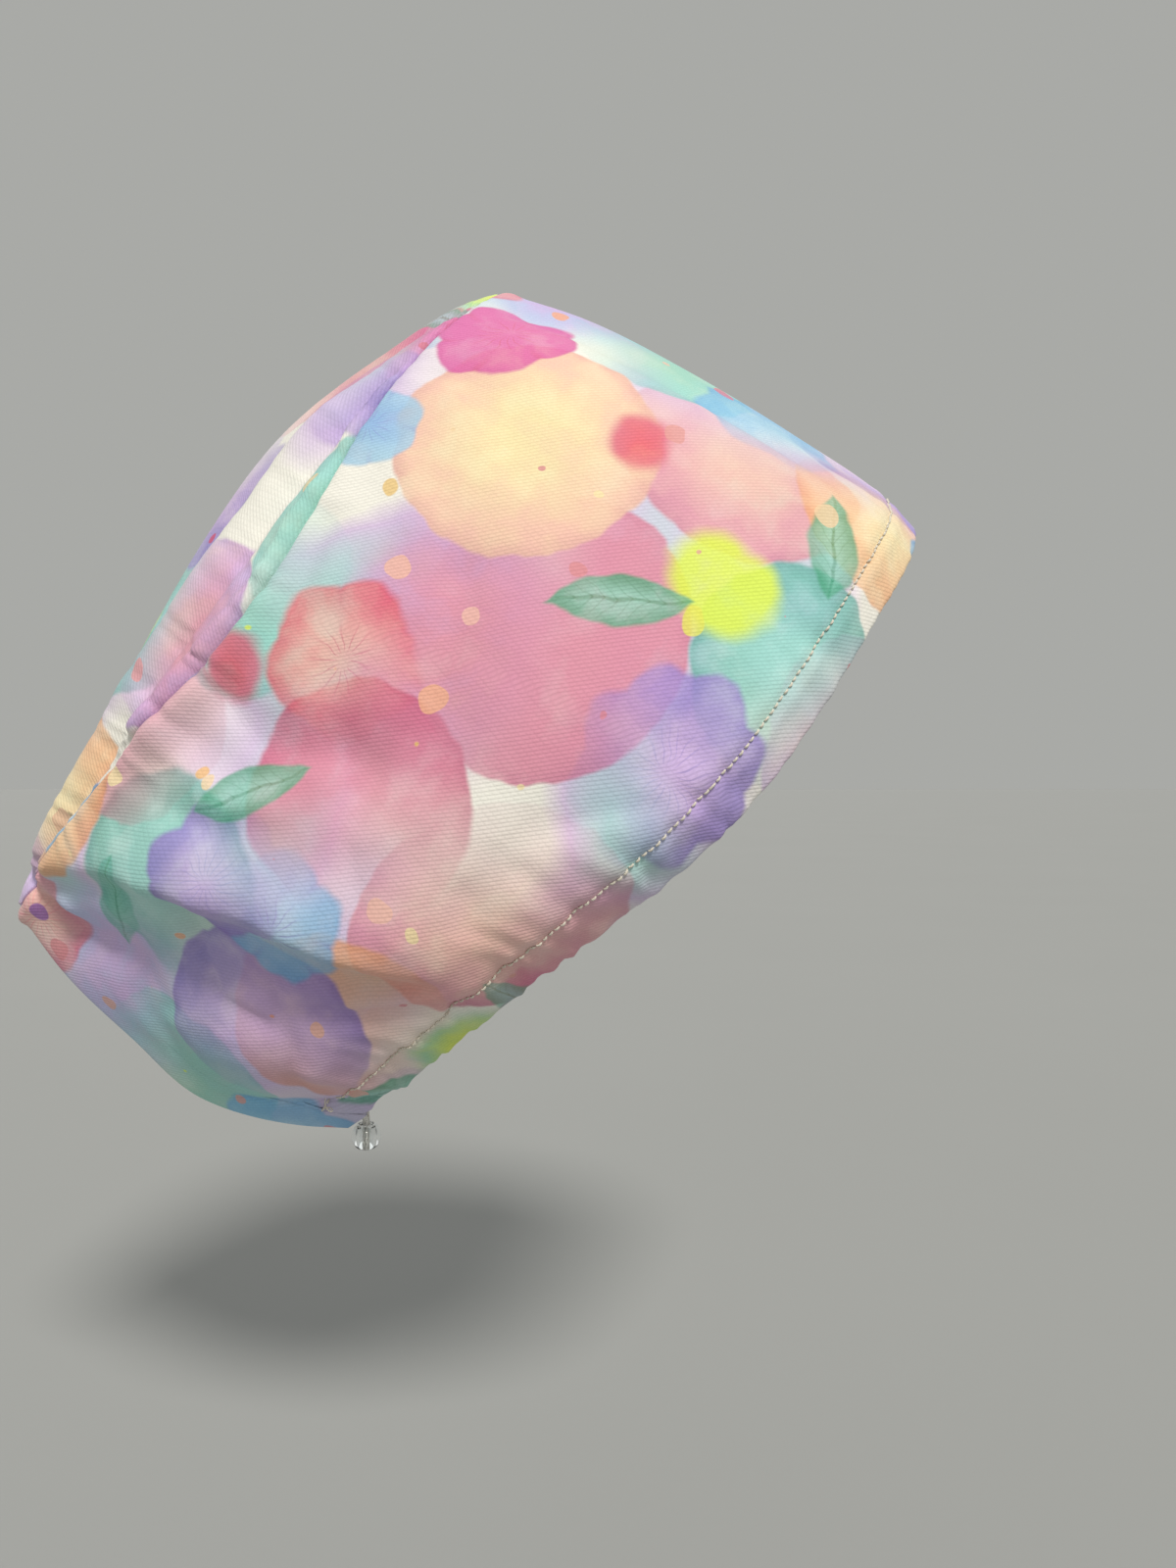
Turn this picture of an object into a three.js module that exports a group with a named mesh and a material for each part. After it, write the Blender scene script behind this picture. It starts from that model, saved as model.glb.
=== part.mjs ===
// A cloth scrub cap with a hair pouch, in the shape that it has on a head and tipped back the way it is worn.
// Millimetres. +X points to the wearer's forehead, +Y to the wearer's left and +Z up.
// The origin is the middle of the head opening, halfway between the front and the back of the hem.
// Shapes are worked out in the cap's own frame, where the hem lies level: u runs from the back of the hem to
// its front, w runs sideways and v stands square on the opening. A group then tips that frame back.
import * as THREE from "three";

// Driving sizes
const HEM_TILT = 47; // degrees that the hem is tipped back from level
const HALF_LENGTH = 136; // from the middle of the opening to the front of the hem
const HALF_WIDTH = 80; // widest half width of the band, over the ear
const HEIGHT = 180; // from the level of the hem to the top of the crown
const CLOTH = 1.2; // wall of the twill
const SEAM_GAP = 0.3; // clearance where two sewn pieces meet
const FRONT_FOLD_ANGLE = 62; // degrees from the middle plane to the cloth beside the crease at the front
const BACK_FOLD_ANGLE = 40; // the same beside the centre back seam
const CASING_WIDTH = 15; // from the stitch line to the hem edge
const CASING_LAYER = 1; // wall of each layer of the casing
const CASING_STITCHED = 2.6; // both layers where they are sewn together
const CORD_DIAMETER = 2;
const CORD_CLEARANCE = 0.3; // between the cord and the cloth round it, and between its two ends
const MOUTH_SETBACK = 15; // along the hem, from the centre back to each mouth of the casing
const BEAD_DIAMETER = 10;
const BEAD_BELOW_HEM = 1.5; // clear drop between the hem at the centre back and the bead
const BEAD_AHEAD = 3.5; // how far in front of the centre back the bead hangs
const BEAD_LIP = 1; // how far the cord's ends stop short of the bead's lower face
const CREASE_FADE = 28; // distance along the cloth over which folds die out towards a crease
const STITCH_FADE = 19; // the same towards the hem's stitch line
const CROWN_FADE = 16; // the same towards the crown seam

// How finely the cloth is faceted
const COLUMNS = 36; // round half of the band
const ROWS = 14; // up the band
const ARCH_STEPS = 4; // from the crown seam to the ridge
const CORD_SIDES = 8;
const BEAD_SIDES = 14;
const BEAD_ARCS = 8;

const rad = THREE.MathUtils.degToRad;

// Where the control points stand round half of the band, as shares of the way from the front to the back.
const AROUND = { front: 0, temple: 0.27, side: 0.5, nape: 0.75, back: 1 };

// One row for each level of the band, from the hem edge up to the crown seam. "up" is the share of the way
// up. The letter after a place says what is given: U is a share of HALF_LENGTH, W of HALF_WIDTH and V of HEIGHT.
const LEVELS = [
  { up: 0.0, frontU: 1.0, frontV: 0.0, templeU: 0.72, templeW: 0.59, templeV: -0.033,
    sideU: 0.15, sideW: 0.88, sideV: -0.084, napeU: -0.5, napeW: 0.52, napeV: -0.031,
    backU: -1.07, backV: 0.018 },
  { up: 0.09, frontU: 1.006, frontV: 0.083, templeU: 0.75, templeW: 0.65, templeV: 0.042,
    sideU: 0.14, sideW: 0.99, sideV: -0.012, napeU: -0.53, napeW: 0.675, napeV: 0.03,
    backU: -1.145, backV: 0.085 },
  { up: 0.3, frontU: 0.965, frontV: 0.297, templeU: 0.7, templeW: 0.68, templeV: 0.235,
    sideU: 0.09, sideW: 1.0, sideV: 0.165, napeU: -0.61, napeW: 0.76, napeV: 0.165,
    backU: -1.263, backV: 0.25 },
  { up: 0.55, frontU: 0.898, frontV: 0.535, templeU: 0.61, templeW: 0.655, templeV: 0.47,
    sideU: 0.0, sideW: 0.94, sideV: 0.365, napeU: -0.69, napeW: 0.76, napeV: 0.335,
    backU: -1.275, backV: 0.435 },
  { up: 0.8, frontU: 0.822, frontV: 0.73, templeU: 0.49, templeW: 0.57, templeV: 0.685,
    sideU: -0.12, sideW: 0.81, sideV: 0.565, napeU: -0.73, napeW: 0.68, napeV: 0.52,
    backU: -1.27, backV: 0.61 },
  { up: 1.0, frontU: 0.731, frontV: 0.878, templeU: 0.33, templeW: 0.46, templeV: 0.842,
    sideU: -0.22, sideW: 0.66, sideV: 0.735, napeU: -0.72, napeW: 0.52, napeV: 0.74,
    backU: -1.235, backV: 0.752 },
];
const STITCH_UP = LEVELS[1].up;

// The crown's ridge, from its front tip to its back tip: U is a share of HALF_LENGTH and V of HEIGHT.
const RIDGE = [
  { ridgeU: 0.731, ridgeV: 0.88 },
  { ridgeU: 0.62, ridgeV: 0.918 },
  { ridgeU: 0.44, ridgeV: 0.953 },
  { ridgeU: 0.12, ridgeV: 0.998 },
  { ridgeU: -0.25, ridgeV: 0.971 },
  { ridgeU: -0.58, ridgeV: 0.911 },
  { ridgeU: -0.96, ridgeV: 0.835 },
  { ridgeU: -1.1, ridgeV: 0.8 },
  { ridgeU: -1.235, ridgeV: 0.754 },
];
const ARCH_SHOULDER = { across: 0.62, rise: 0.74 }; // fullness of the crown between its seam and its ridge

// Folds of the cloth, one row for each straight stretch of one. A stretch runs from one place of the band to
// another, as shares of the way round and up. "depth" is a share of HALF_WIDTH and stands out of the cloth where
// positive. "left" and "right" are shares of HEIGHT: how far the fold fades to each side of its line, walked
// from its start, with round counted to the right. "far" is the share of it that shows on the wearer's left.
const FOLDS = [
  { fold: "pouch overhang, upper", fromRound: 0.97, fromUp: 1.02, toRound: 0.775, toUp: 0.76,
    depth: 0.062, left: 0.065, right: 0.16, far: 0.8 },
  { fold: "pouch overhang, lower", fromRound: 0.76, fromUp: 0.66, toRound: 0.745, toUp: 0.38,
    depth: 0.045, left: 0.055, right: 0.12, far: 0.8 },
  { fold: "hollow under it, upper", fromRound: 0.96, fromUp: 0.88, toRound: 0.84, toUp: 0.68,
    depth: -0.055, left: 0.09, right: 0.065, far: 0.8 },
  { fold: "hollow under it, lower", fromRound: 0.82, fromUp: 0.56, toRound: 0.8, toUp: 0.36,
    depth: -0.04, left: 0.09, right: 0.06, far: 0.8 },
  { fold: "belly of the pouch", fromRound: 0.91, fromUp: 0.5, toRound: 0.89, toUp: 0.25,
    depth: 0.035, left: 0.1, right: 0.07, far: 1 },
  { fold: "slack behind the ear", fromRound: 0.66, fromUp: 0.9, toRound: 0.605, toUp: 0.72,
    depth: -0.05, left: 0.1, right: 0.12, far: 1 },
  { fold: "tuck over the ear", fromRound: 0.44, fromUp: 0.66, toRound: 0.58, toUp: 0.54,
    depth: -0.028, left: 0.07, right: 0.08, far: 0.7 },
  { fold: "drawn hem, temple", fromRound: 0.59, fromUp: 0.26, toRound: 0.49, toUp: 0.16,
    depth: -0.02, left: 0.05, right: 0.06, far: 0.6 },
  { fold: "valley by the front crease", fromRound: 0.08, fromUp: 0.9, toRound: 0.16, toUp: 0.3,
    depth: -0.024, left: 0.06, right: 0.07, far: 1 },
];

// Cubic through rows of a table at uneven places. tangents may fix the slopes at the two ends.
function through(places, values, x, startSlope, endSlope) {
  const last = places.length - 1;
  let k = 0;
  while (k < last - 1 && x > places[k + 1]) k += 1;
  const chord = (i) => (values[i + 1] - values[i]) / (places[i + 1] - places[i]);
  const slope = (i) => {
    if (i === 0) return startSlope ?? chord(0);
    if (i === last) return endSlope ?? chord(last - 1);
    const before = places[i] - places[i - 1];
    const after = places[i + 1] - places[i];
    return (chord(i - 1) * after + chord(i) * before) / (before + after);
  };
  const step = places[k + 1] - places[k];
  const x01 = (x - places[k]) / step;
  const square = x01 * x01;
  const cube = square * x01;
  return (
    (2 * cube - 3 * square + 1) * values[k] +
    (cube - 2 * square + x01) * step * slope(k) +
    (3 * square - 2 * cube) * values[k + 1] +
    (cube - square) * step * slope(k + 1)
  );
}

const AROUND_PLACES = Object.values(AROUND);
const LEVEL_PLACES = LEVELS.map((row) => row.up);

// A point of one level of the band at "round", 0 at the front crease and 1 at the centre back.
function levelPoint(row, round) {
  const us = [row.frontU, row.templeU, row.sideU, row.napeU, row.backU].map((share) => share * HALF_LENGTH);
  const ws = [0, row.templeW, row.sideW, row.napeW, 0].map((share) => share * HALF_WIDTH);
  const vs = [row.frontV, row.templeV, row.sideV, row.napeV, row.backV].map((share) => share * HEIGHT);
  const frontPull = Math.hypot(us[1] - us[0], ws[1]) / AROUND.temple;
  const backPull = Math.hypot(us[4] - us[3], ws[3]) / (AROUND.back - AROUND.nape);
  const frontAngle = rad(FRONT_FOLD_ANGLE);
  const backAngle = rad(BACK_FOLD_ANGLE);
  return new THREE.Vector3(
    through(AROUND_PLACES, us, round, -frontPull * Math.cos(frontAngle), -backPull * Math.cos(backAngle)),
    through(AROUND_PLACES, ws, round, frontPull * Math.sin(frontAngle), -backPull * Math.sin(backAngle)),
    through(AROUND_PLACES, vs, round),
  );
}

// The smooth band without its folds, on the side of +w.
function smoothWall(round, up) {
  const points = LEVELS.map((row) => levelPoint(row, round));
  return new THREE.Vector3(
    through(LEVEL_PLACES, points.map((p) => p.x), up),
    through(LEVEL_PLACES, points.map((p) => p.y), up),
    through(LEVEL_PLACES, points.map((p) => p.z), up),
  );
}

// Along the stitch line from front to back, and up the side from the hem to the crown seam.
const HALF_ROUND = lengthOf(60, (share) => smoothWall(share, STITCH_UP));
const WALL_RISE = lengthOf(20, (share) => smoothWall(AROUND.side, share));

function lengthOf(steps, pointAt) {
  let sum = 0;
  for (let i = 0; i < steps; i += 1) sum += pointAt(i / steps).distanceTo(pointAt((i + 1) / steps));
  return sum;
}

// A step round and up, as lengths on the cloth.
function onCloth(round, up) {
  return new THREE.Vector2(round * HALF_ROUND, up * WALL_RISE);
}

// How far the folds move the cloth out at a place of the band.
function foldDepth(round, up, farSide) {
  let sum = 0;
  for (const row of FOLDS) {
    const along = onCloth(row.toRound - row.fromRound, row.toUp - row.fromUp);
    const from = onCloth(round - row.fromRound, up - row.fromUp);
    const length = along.length();
    along.divideScalar(length);
    const travelled = from.dot(along);
    const past = Math.max(0, -travelled, travelled - length);
    const aside = along.cross(from);
    const reach = (aside > 0 ? row.left : row.right) * HEIGHT;
    const fade = Math.max(row.left, row.right) * HEIGHT;
    const share = farSide ? row.far : 1;
    sum += row.depth * HALF_WIDTH * share * Math.exp(-((aside / reach) ** 2) - (past / fade) ** 2);
  }
  const { smoothstep } = THREE.MathUtils;
  const toNearerCrease = Math.min(round, 1 - round) * HALF_ROUND;
  const clearOfCreases = smoothstep(toNearerCrease, 0, CREASE_FADE);
  const clearOfStitches = smoothstep((up - STITCH_UP) * WALL_RISE, 0, STITCH_FADE);
  const clearOfCrown = smoothstep((1 - up) * WALL_RISE, 0, CROWN_FADE);
  return sum * clearOfCreases * clearOfStitches * clearOfCrown;
}

// Outward normal of the smooth band. On the two creases it lies in the middle plane and is lengthened, so that
// an offset along it keeps the wall's thickness.
const NORMAL_STEP = 0.004; // share of the way round or up between the places that a normal is taken from
const LEAST_MITRE = 0.35; // keeps a very sharp crease from throwing the offset too far
function wallNormal(round, up) {
  const low = smoothWall(round, Math.max(0, up - NORMAL_STEP));
  const high = smoothWall(round, Math.min(1, up + NORMAL_STEP));
  const rise = high.sub(low);
  const behind = smoothWall(Math.min(1, round + NORMAL_STEP), up);
  const ahead = smoothWall(Math.max(0, round - NORMAL_STEP), up);
  const normal = behind.sub(ahead).cross(rise).normalize();
  const onCrease = round < NORMAL_STEP || round > 1 - NORMAL_STEP;
  if (!onCrease) return normal;
  const flat = new THREE.Vector3(normal.x, 0, normal.z);
  const share = Math.max(flat.length(), LEAST_MITRE);
  return flat.normalize().divideScalar(share);
}

// A point of the band with its folds. "round" runs from -1 to 1: negative is the wearer's right, at -w.
// "inward" is how far under the outer face the point lies.
function wallPoint(round, up, inward = 0) {
  const half = Math.abs(round);
  const farSide = round > 0;
  const out = foldDepth(half, up, farSide) - inward;
  const point = smoothWall(half, up).addScaledVector(wallNormal(half, up), out);
  if (!farSide) point.y = -point.y;
  return point;
}

// Skins a list of rings, each a closed list of points that goes up one face of the cloth and down the other.
// Both faces share their diagonals, and those of the two sides mirror each other. Where closed is false, the ends
// are capped by pairing each ring's first half with its second half.
function loft(rings, closed) {
  const size = rings[0].length;
  const positions = rings.flat().flatMap((p) => [p.x, p.y, p.z]);
  const triangles = [];
  const count = closed ? rings.length : rings.length - 1;
  for (let i = 0; i < count; i += 1) {
    const here = i * size;
    const next = ((i + 1) % rings.length) * size;
    for (let j = 0; j < size; j += 1) {
      const k = (j + 1) % size;
      const onRight = i < rings.length / 2;
      const onInnerFace = j >= size / 2;
      if (onRight === onInnerFace) triangles.push(here + j, next + j, next + k, here + j, next + k, here + k);
      else triangles.push(here + j, next + j, here + k, next + j, next + k, here + k);
    }
  }
  if (!closed) {
    const end = (rings.length - 1) * size;
    for (let j = 0; j < size / 2 - 1; j += 1) {
      const mate = size - 1 - j;
      triangles.push(j, j + 1, mate - 1, j, mate - 1, mate);
      triangles.push(end + j, end + mate - 1, end + j + 1, end + j, end + mate, end + mate - 1);
    }
  }
  return solid(positions, triangles);
}

// Skins an open run of hollow sections: outer and inner rings of the same number of points, joined at both ends.
function hollowLoft(outerRings, innerRings) {
  const size = outerRings[0].length;
  const last = outerRings.length - 1;
  const innerStart = outerRings.length * size;
  const positions = [...outerRings, ...innerRings].flat().flatMap((p) => [p.x, p.y, p.z]);
  const triangles = [];
  for (let j = 0; j < size; j += 1) {
    const k = (j + 1) % size;
    for (let i = 0; i < last; i += 1) {
      const here = i * size;
      const next = here + size;
      triangles.push(here + j, next + j, next + k, here + j, next + k, here + k);
      const inHere = innerStart + here;
      const inNext = innerStart + next;
      triangles.push(inHere + j, inNext + k, inNext + j, inHere + j, inHere + k, inNext + k);
    }
    const far = last * size;
    const inFar = innerStart + far;
    triangles.push(j, k, innerStart + k, j, innerStart + k, innerStart + j);
    triangles.push(far + j, inFar + k, far + k, far + j, inFar + j, inFar + k);
  }
  return solid(positions, triangles);
}

// A geometry from points and triangles, with every face turned out.
function solid(positions, triangles) {
  let volume = 0;
  const at = (i) => new THREE.Vector3().fromArray(positions, 3 * i);
  for (let i = 0; i < triangles.length; i += 3) {
    volume += at(triangles[i]).dot(at(triangles[i + 1]).cross(at(triangles[i + 2])));
  }
  const index = volume > 0 ? triangles : [...triangles].reverse();
  const geometry = new THREE.BufferGeometry();
  geometry.setAttribute("position", new THREE.Float32BufferAttribute(positions, 3));
  geometry.setIndex(index);
  geometry.computeVertexNormals();
  return geometry;
}

// Places round half of the cap, from the front to the centre back. The casing ends at its mouth, and the tab of
// the band between the mouths starts a seam's clearance behind it.
const MOUTH_ROUND = 1 - MOUTH_SETBACK / HALF_ROUND;
const TAB_FOOT = MOUTH_ROUND + SEAM_GAP / HALF_ROUND;
const TAB_EDGE = MOUTH_ROUND + (2 * SEAM_GAP) / HALF_ROUND;
const CROWN_TIP = 0.008; // share of the way round at which the crown's two sides part
const EVEN_PLACES = Array.from({ length: COLUMNS + 1 }, (_, i) => i / COLUMNS);
const HALF_PLACES = [
  EVEN_PLACES[0],
  CROWN_TIP,
  ...EVEN_PLACES.slice(1).filter((place) => place < MOUTH_ROUND - 0.3 / COLUMNS),
  MOUTH_ROUND,
  TAB_FOOT,
  TAB_EDGE,
  ...EVEN_PLACES.slice(0, -1).filter((place) => place > TAB_EDGE + 0.3 / COLUMNS),
  1 - CROWN_TIP,
  EVEN_PLACES[COLUMNS],
];

// Places round the whole cap, from the centre back along the wearer's right to the front and on by the left.
const STATIONS = [...HALF_PLACES.slice(1).reverse().map((place) => -place), ...HALF_PLACES.slice(0, -1)];

// The band: one strip of cloth from the stitch line to the crown seam. Between the mouths of the casing its
// lower edge runs on down to the hem as a plain tab.
function bandGeometry() {
  const rings = STATIONS.map((round) => {
    const foot = Math.abs(round) > TAB_FOOT ? 0 : STITCH_UP;
    const ring = [];
    for (let j = 0; j <= ROWS; j += 1) ring.push(wallPoint(round, foot + ((1 - foot) * j) / ROWS));
    for (let j = ROWS; j >= 0; j -= 1) ring.push(wallPoint(round, foot + ((1 - foot) * j) / ROWS, CLOTH));
    return ring;
  });
  return loft(rings, true);
}

// The height of the ridge above the hem level at a place along the cap.
function ridgeHeight(u) {
  const places = RIDGE.map((row) => -row.ridgeU * HALF_LENGTH);
  return through(places, RIDGE.map((row) => row.ridgeV * HEIGHT), -u);
}

// The crown: an oval of cloth that rises from its seam on both sides to a soft ridge, like a roof.
// Its foot stands on the top edge of the band with the seam's clearance.
function crownGeometry() {
  const rings = [];
  for (const round of HALF_PLACES.slice(1, -1)) {
    const sides = [-round, round].map((place) => ({
      outer: wallPoint(place, 1),
      inner: wallPoint(place, 1, CLOTH),
    }));
    const middle = (sides[0].outer.x + sides[1].outer.x) / 2;
    const top = ridgeHeight(middle) + SEAM_GAP;
    const ring = [];
    for (let j = -ARCH_STEPS; j <= ARCH_STEPS; j += 1) {
      ring.push(archPoint(sides[j < 0 ? 0 : 1].outer, top, 1 - Math.abs(j) / ARCH_STEPS));
    }
    for (let j = ARCH_STEPS; j >= -ARCH_STEPS; j -= 1) {
      ring.push(archPoint(sides[j < 0 ? 0 : 1].inner, top - CLOTH, 1 - Math.abs(j) / ARCH_STEPS));
    }
    rings.push(ring);
  }
  return loft(rings, false);
}

// A point of the crown between its foot on the band, at share 0, and the ridge, at share 1.
function archPoint(foot, top, share) {
  const rise = top - foot.z;
  const shoulderW = foot.y * ARCH_SHOULDER.across;
  const shoulderV = foot.z + rise * ARCH_SHOULDER.rise;
  const start = (1 - share) ** 2;
  const middle = 2 * share * (1 - share);
  const w = start * foot.y + middle * shoulderW;
  const v = start * foot.z + middle * shoulderV + share ** 2 * top;
  return new THREE.Vector3(foot.x, w, v + SEAM_GAP * (1 - share));
}

// The casing's section, in millimetres: "down" from the stitch line and "in" from the outer face. It is as deep as
// its two layers with the cord between them, and the cord lies in its lower bend.
const CASING_DEPTH = 2 * CASING_LAYER + CORD_DIAMETER + 2 * CORD_CLEARANCE;
const CORD_DOWN = CASING_WIDTH - CASING_LAYER - 2.5 * CORD_CLEARANCE - CORD_DIAMETER / 2;
function casingSection() {
  const foot = CASING_WIDTH;
  const bend = CASING_DEPTH / 4;
  const roomTop = CORD_DOWN - 2 * CORD_DIAMETER;
  const outer = [
    { down: SEAM_GAP, in: 0 },
    { down: roomTop, in: 0 },
    { down: foot - bend, in: 0 },
    { down: foot, in: bend },
    { down: foot, in: CASING_DEPTH - bend },
    { down: foot - bend, in: CASING_DEPTH },
    { down: roomTop + CASING_LAYER, in: CASING_DEPTH },
    { down: SEAM_GAP, in: CASING_STITCHED },
  ];
  const layer = CASING_LAYER;
  const room = [
    { down: roomTop - layer, in: layer },
    { down: roomTop + layer, in: layer },
    { down: foot - bend, in: layer },
    { down: foot - layer, in: bend + layer / 2 },
    { down: foot - layer, in: CASING_DEPTH - bend - layer / 2 },
    { down: foot - bend, in: CASING_DEPTH - layer },
    { down: roomTop + layer, in: CASING_DEPTH - layer },
    { down: roomTop - layer, in: layer + CORD_CLEARANCE },
  ];
  return { outer, room };
}

function casingPoint(round, place) {
  return wallPoint(round, STITCH_UP * (1 - place.down / CASING_WIDTH), place.in);
}

const CASING_STATIONS = STATIONS.filter((round) => Math.abs(round) <= MOUTH_ROUND);

// The casing: the hem turned up inside and stitched, which leaves a tunnel for the drawcord, open at both mouths.
function casingGeometry() {
  const { outer, room } = casingSection();
  return hollowLoft(
    CASING_STATIONS.map((round) => outer.map((place) => casingPoint(round, place))),
    CASING_STATIONS.map((round) => room.map((place) => casingPoint(round, place))),
  );
}

// Straight down, in the cap's own frame.
const DOWN = new THREE.Vector3(-Math.sin(rad(HEM_TILT)), 0, -Math.cos(rad(HEM_TILT)));

// The middle of the bead: under the hem at the centre back.
function beadCentre() {
  const hem = wallPoint(-1, 0);
  const drop = BEAD_DIAMETER / 2 + BEAD_BELOW_HEM;
  return new THREE.Vector3(hem.x + BEAD_AHEAD, 0, hem.z - drop);
}

// A ring of the cord round a centre, square to "along".
function cordRing(centre, along) {
  const side = new THREE.Vector3(0, 0, 1).cross(along).normalize();
  const up = along.clone().cross(side).normalize();
  return Array.from({ length: CORD_SIDES }, (_, i) => {
    const turn = (2 * Math.PI * (i + 0.5)) / CORD_SIDES;
    return centre
      .clone()
      .addScaledVector(side, (CORD_DIAMETER / 2) * Math.cos(turn))
      .addScaledVector(up, (CORD_DIAMETER / 2) * Math.sin(turn));
  });
}

// The drawcord's middle line from one end to the other: up through the bead, round in the casing, and back.
const CORD_END_STEPS = 6;
function cordLine() {
  const cordPlace = { down: CORD_DOWN, in: CASING_DEPTH / 2 };
  const inside = CASING_STATIONS.map((round) => casingPoint(round, cordPlace));
  const bead = beadCentre();
  const tail = [];
  const apart = (CORD_DIAMETER + CORD_CLEARANCE) / 2;
  const beadTop = bead.clone().addScaledVector(DOWN, -BEAD_DIAMETER / 2 - CORD_CLEARANCE);
  const end = bead.clone().addScaledVector(DOWN, BEAD_DIAMETER / 2 - BEAD_LIP);
  const mouth = inside[0];
  const leaving = mouth.clone().sub(inside[1]).setLength(CASING_WIDTH / 2);
  const arriving = DOWN.clone().setLength(CASING_WIDTH / 2);
  for (let i = 1; i < CORD_END_STEPS; i += 1) {
    const share = i / CORD_END_STEPS;
    const a = 2 * share ** 3 - 3 * share ** 2 + 1;
    const b = share ** 3 - 2 * share ** 2 + share;
    const c = 3 * share ** 2 - 2 * share ** 3;
    const d = share ** 3 - share ** 2;
    tail.push(
      mouth.clone().multiplyScalar(a)
        .addScaledVector(leaving, b)
        .addScaledVector(new THREE.Vector3(beadTop.x, -apart, beadTop.z), c)
        .addScaledVector(arriving, d),
    );
  }
  tail.push(new THREE.Vector3(beadTop.x, -apart, beadTop.z), new THREE.Vector3(end.x, -apart, end.z));
  const mirrored = tail.map((p) => new THREE.Vector3(p.x, -p.y, p.z));
  return [...tail.reverse(), ...inside, ...mirrored];
}

// The drawcord: one elastic cord with both ends in the bead.
function cordGeometry() {
  const line = cordLine();
  const rings = line.map((point, i) => {
    const before = line[Math.max(0, i - 1)];
    const after = line[Math.min(line.length - 1, i + 1)];
    return cordRing(point, after.clone().sub(before));
  });
  return loft(rings, false);
}

// The bead: a clear ball with a bore for the two ends of the cord, side by side.
const BORE_RADIUS = CORD_DIAMETER + 1.5 * CORD_CLEARANCE;
function beadGeometry() {
  const radius = BEAD_DIAMETER / 2;
  const edge = Math.asin(BORE_RADIUS / radius);
  const profile = [];
  for (let i = 0; i <= BEAD_ARCS; i += 1) {
    const turn = edge + ((Math.PI - 2 * edge) * i) / BEAD_ARCS;
    profile.push(new THREE.Vector2(radius * Math.sin(turn), -radius * Math.cos(turn)));
  }
  profile.push(profile[0].clone());
  return new THREE.LatheGeometry(profile, BEAD_SIDES);
}

const cotton = { roughness: 0.9, metalness: 0 };
const printed = new THREE.MeshStandardMaterial({ ...cotton, color: 0xe3b4bf, name: "printed twill" });
const crownCloth = new THREE.MeshStandardMaterial({ ...cotton, color: 0xe6d7e0, name: "printed twill, crown" });
const casingCloth = new THREE.MeshStandardMaterial({ ...cotton, color: 0xd9c9a4, name: "printed twill, hem" });
const elastic = new THREE.MeshStandardMaterial({ color: 0xe9e7e2, roughness: 0.6, metalness: 0 });
const clear = new THREE.MeshStandardMaterial({
  color: 0xf2f4f4, roughness: 0.08, metalness: 0, transparent: true, opacity: 0.35,
});

function piece(name, geometry, material) {
  const mesh = new THREE.Mesh(geometry, material);
  mesh.name = name;
  return mesh;
}

const bead = piece("cord_bead", beadGeometry(), clear);
bead.position.copy(beadCentre());
bead.quaternion.setFromUnitVectors(new THREE.Vector3(0, -1, 0), DOWN);

const cap = new THREE.Group();
cap.add(
  piece("band", bandGeometry(), printed),
  piece("crown", crownGeometry(), crownCloth),
  piece("hem_casing", casingGeometry(), casingCloth),
  piece("drawcord", cordGeometry(), elastic),
  bead,
);
cap.rotation.y = -rad(HEM_TILT);

const part = new THREE.Group();
part.add(cap);

export default part;
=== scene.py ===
"""Dresses a printed cloth scrub cap: its folds, gathers, stitches, print and weave.

Metres. +X points to the wearer's forehead, +Y to the wearer's left and +Z up. Shapes are worked out in the
cap's own frame, where the hem lies level: u runs from the back of the hem to its front, w sideways and v
square to the opening. A place of the band is "round", from -1 at the centre back along the wearer's right to
0 at the front crease and on to 1 at the centre back, and "up", from 0 at the hem edge to 1 at the crown seam.
"""

import logging
import math
from dataclasses import dataclass, field
from enum import Enum
from typing import NamedTuple, Optional, Union

import bpy
import numpy as np
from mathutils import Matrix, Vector, noise


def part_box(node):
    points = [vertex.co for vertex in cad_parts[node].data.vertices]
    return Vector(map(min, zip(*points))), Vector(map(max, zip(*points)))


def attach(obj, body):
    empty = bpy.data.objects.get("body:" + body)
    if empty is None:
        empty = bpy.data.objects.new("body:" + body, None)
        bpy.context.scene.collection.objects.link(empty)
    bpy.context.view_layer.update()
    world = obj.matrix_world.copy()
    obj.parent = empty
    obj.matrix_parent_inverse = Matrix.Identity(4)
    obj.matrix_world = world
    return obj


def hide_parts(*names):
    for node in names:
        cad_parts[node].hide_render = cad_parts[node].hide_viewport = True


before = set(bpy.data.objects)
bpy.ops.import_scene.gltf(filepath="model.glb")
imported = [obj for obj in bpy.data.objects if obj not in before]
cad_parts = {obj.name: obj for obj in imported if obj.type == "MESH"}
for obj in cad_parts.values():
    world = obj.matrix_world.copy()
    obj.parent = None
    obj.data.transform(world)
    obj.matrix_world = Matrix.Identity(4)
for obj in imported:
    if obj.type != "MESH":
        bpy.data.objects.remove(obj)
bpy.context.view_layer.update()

log = logging.getLogger("scrub_cap")
MM = 0.001
FULL_TURN = 2 * math.pi
Array = np.ndarray
Colour = tuple[float, float, float, float]


# Form of the cap


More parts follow.
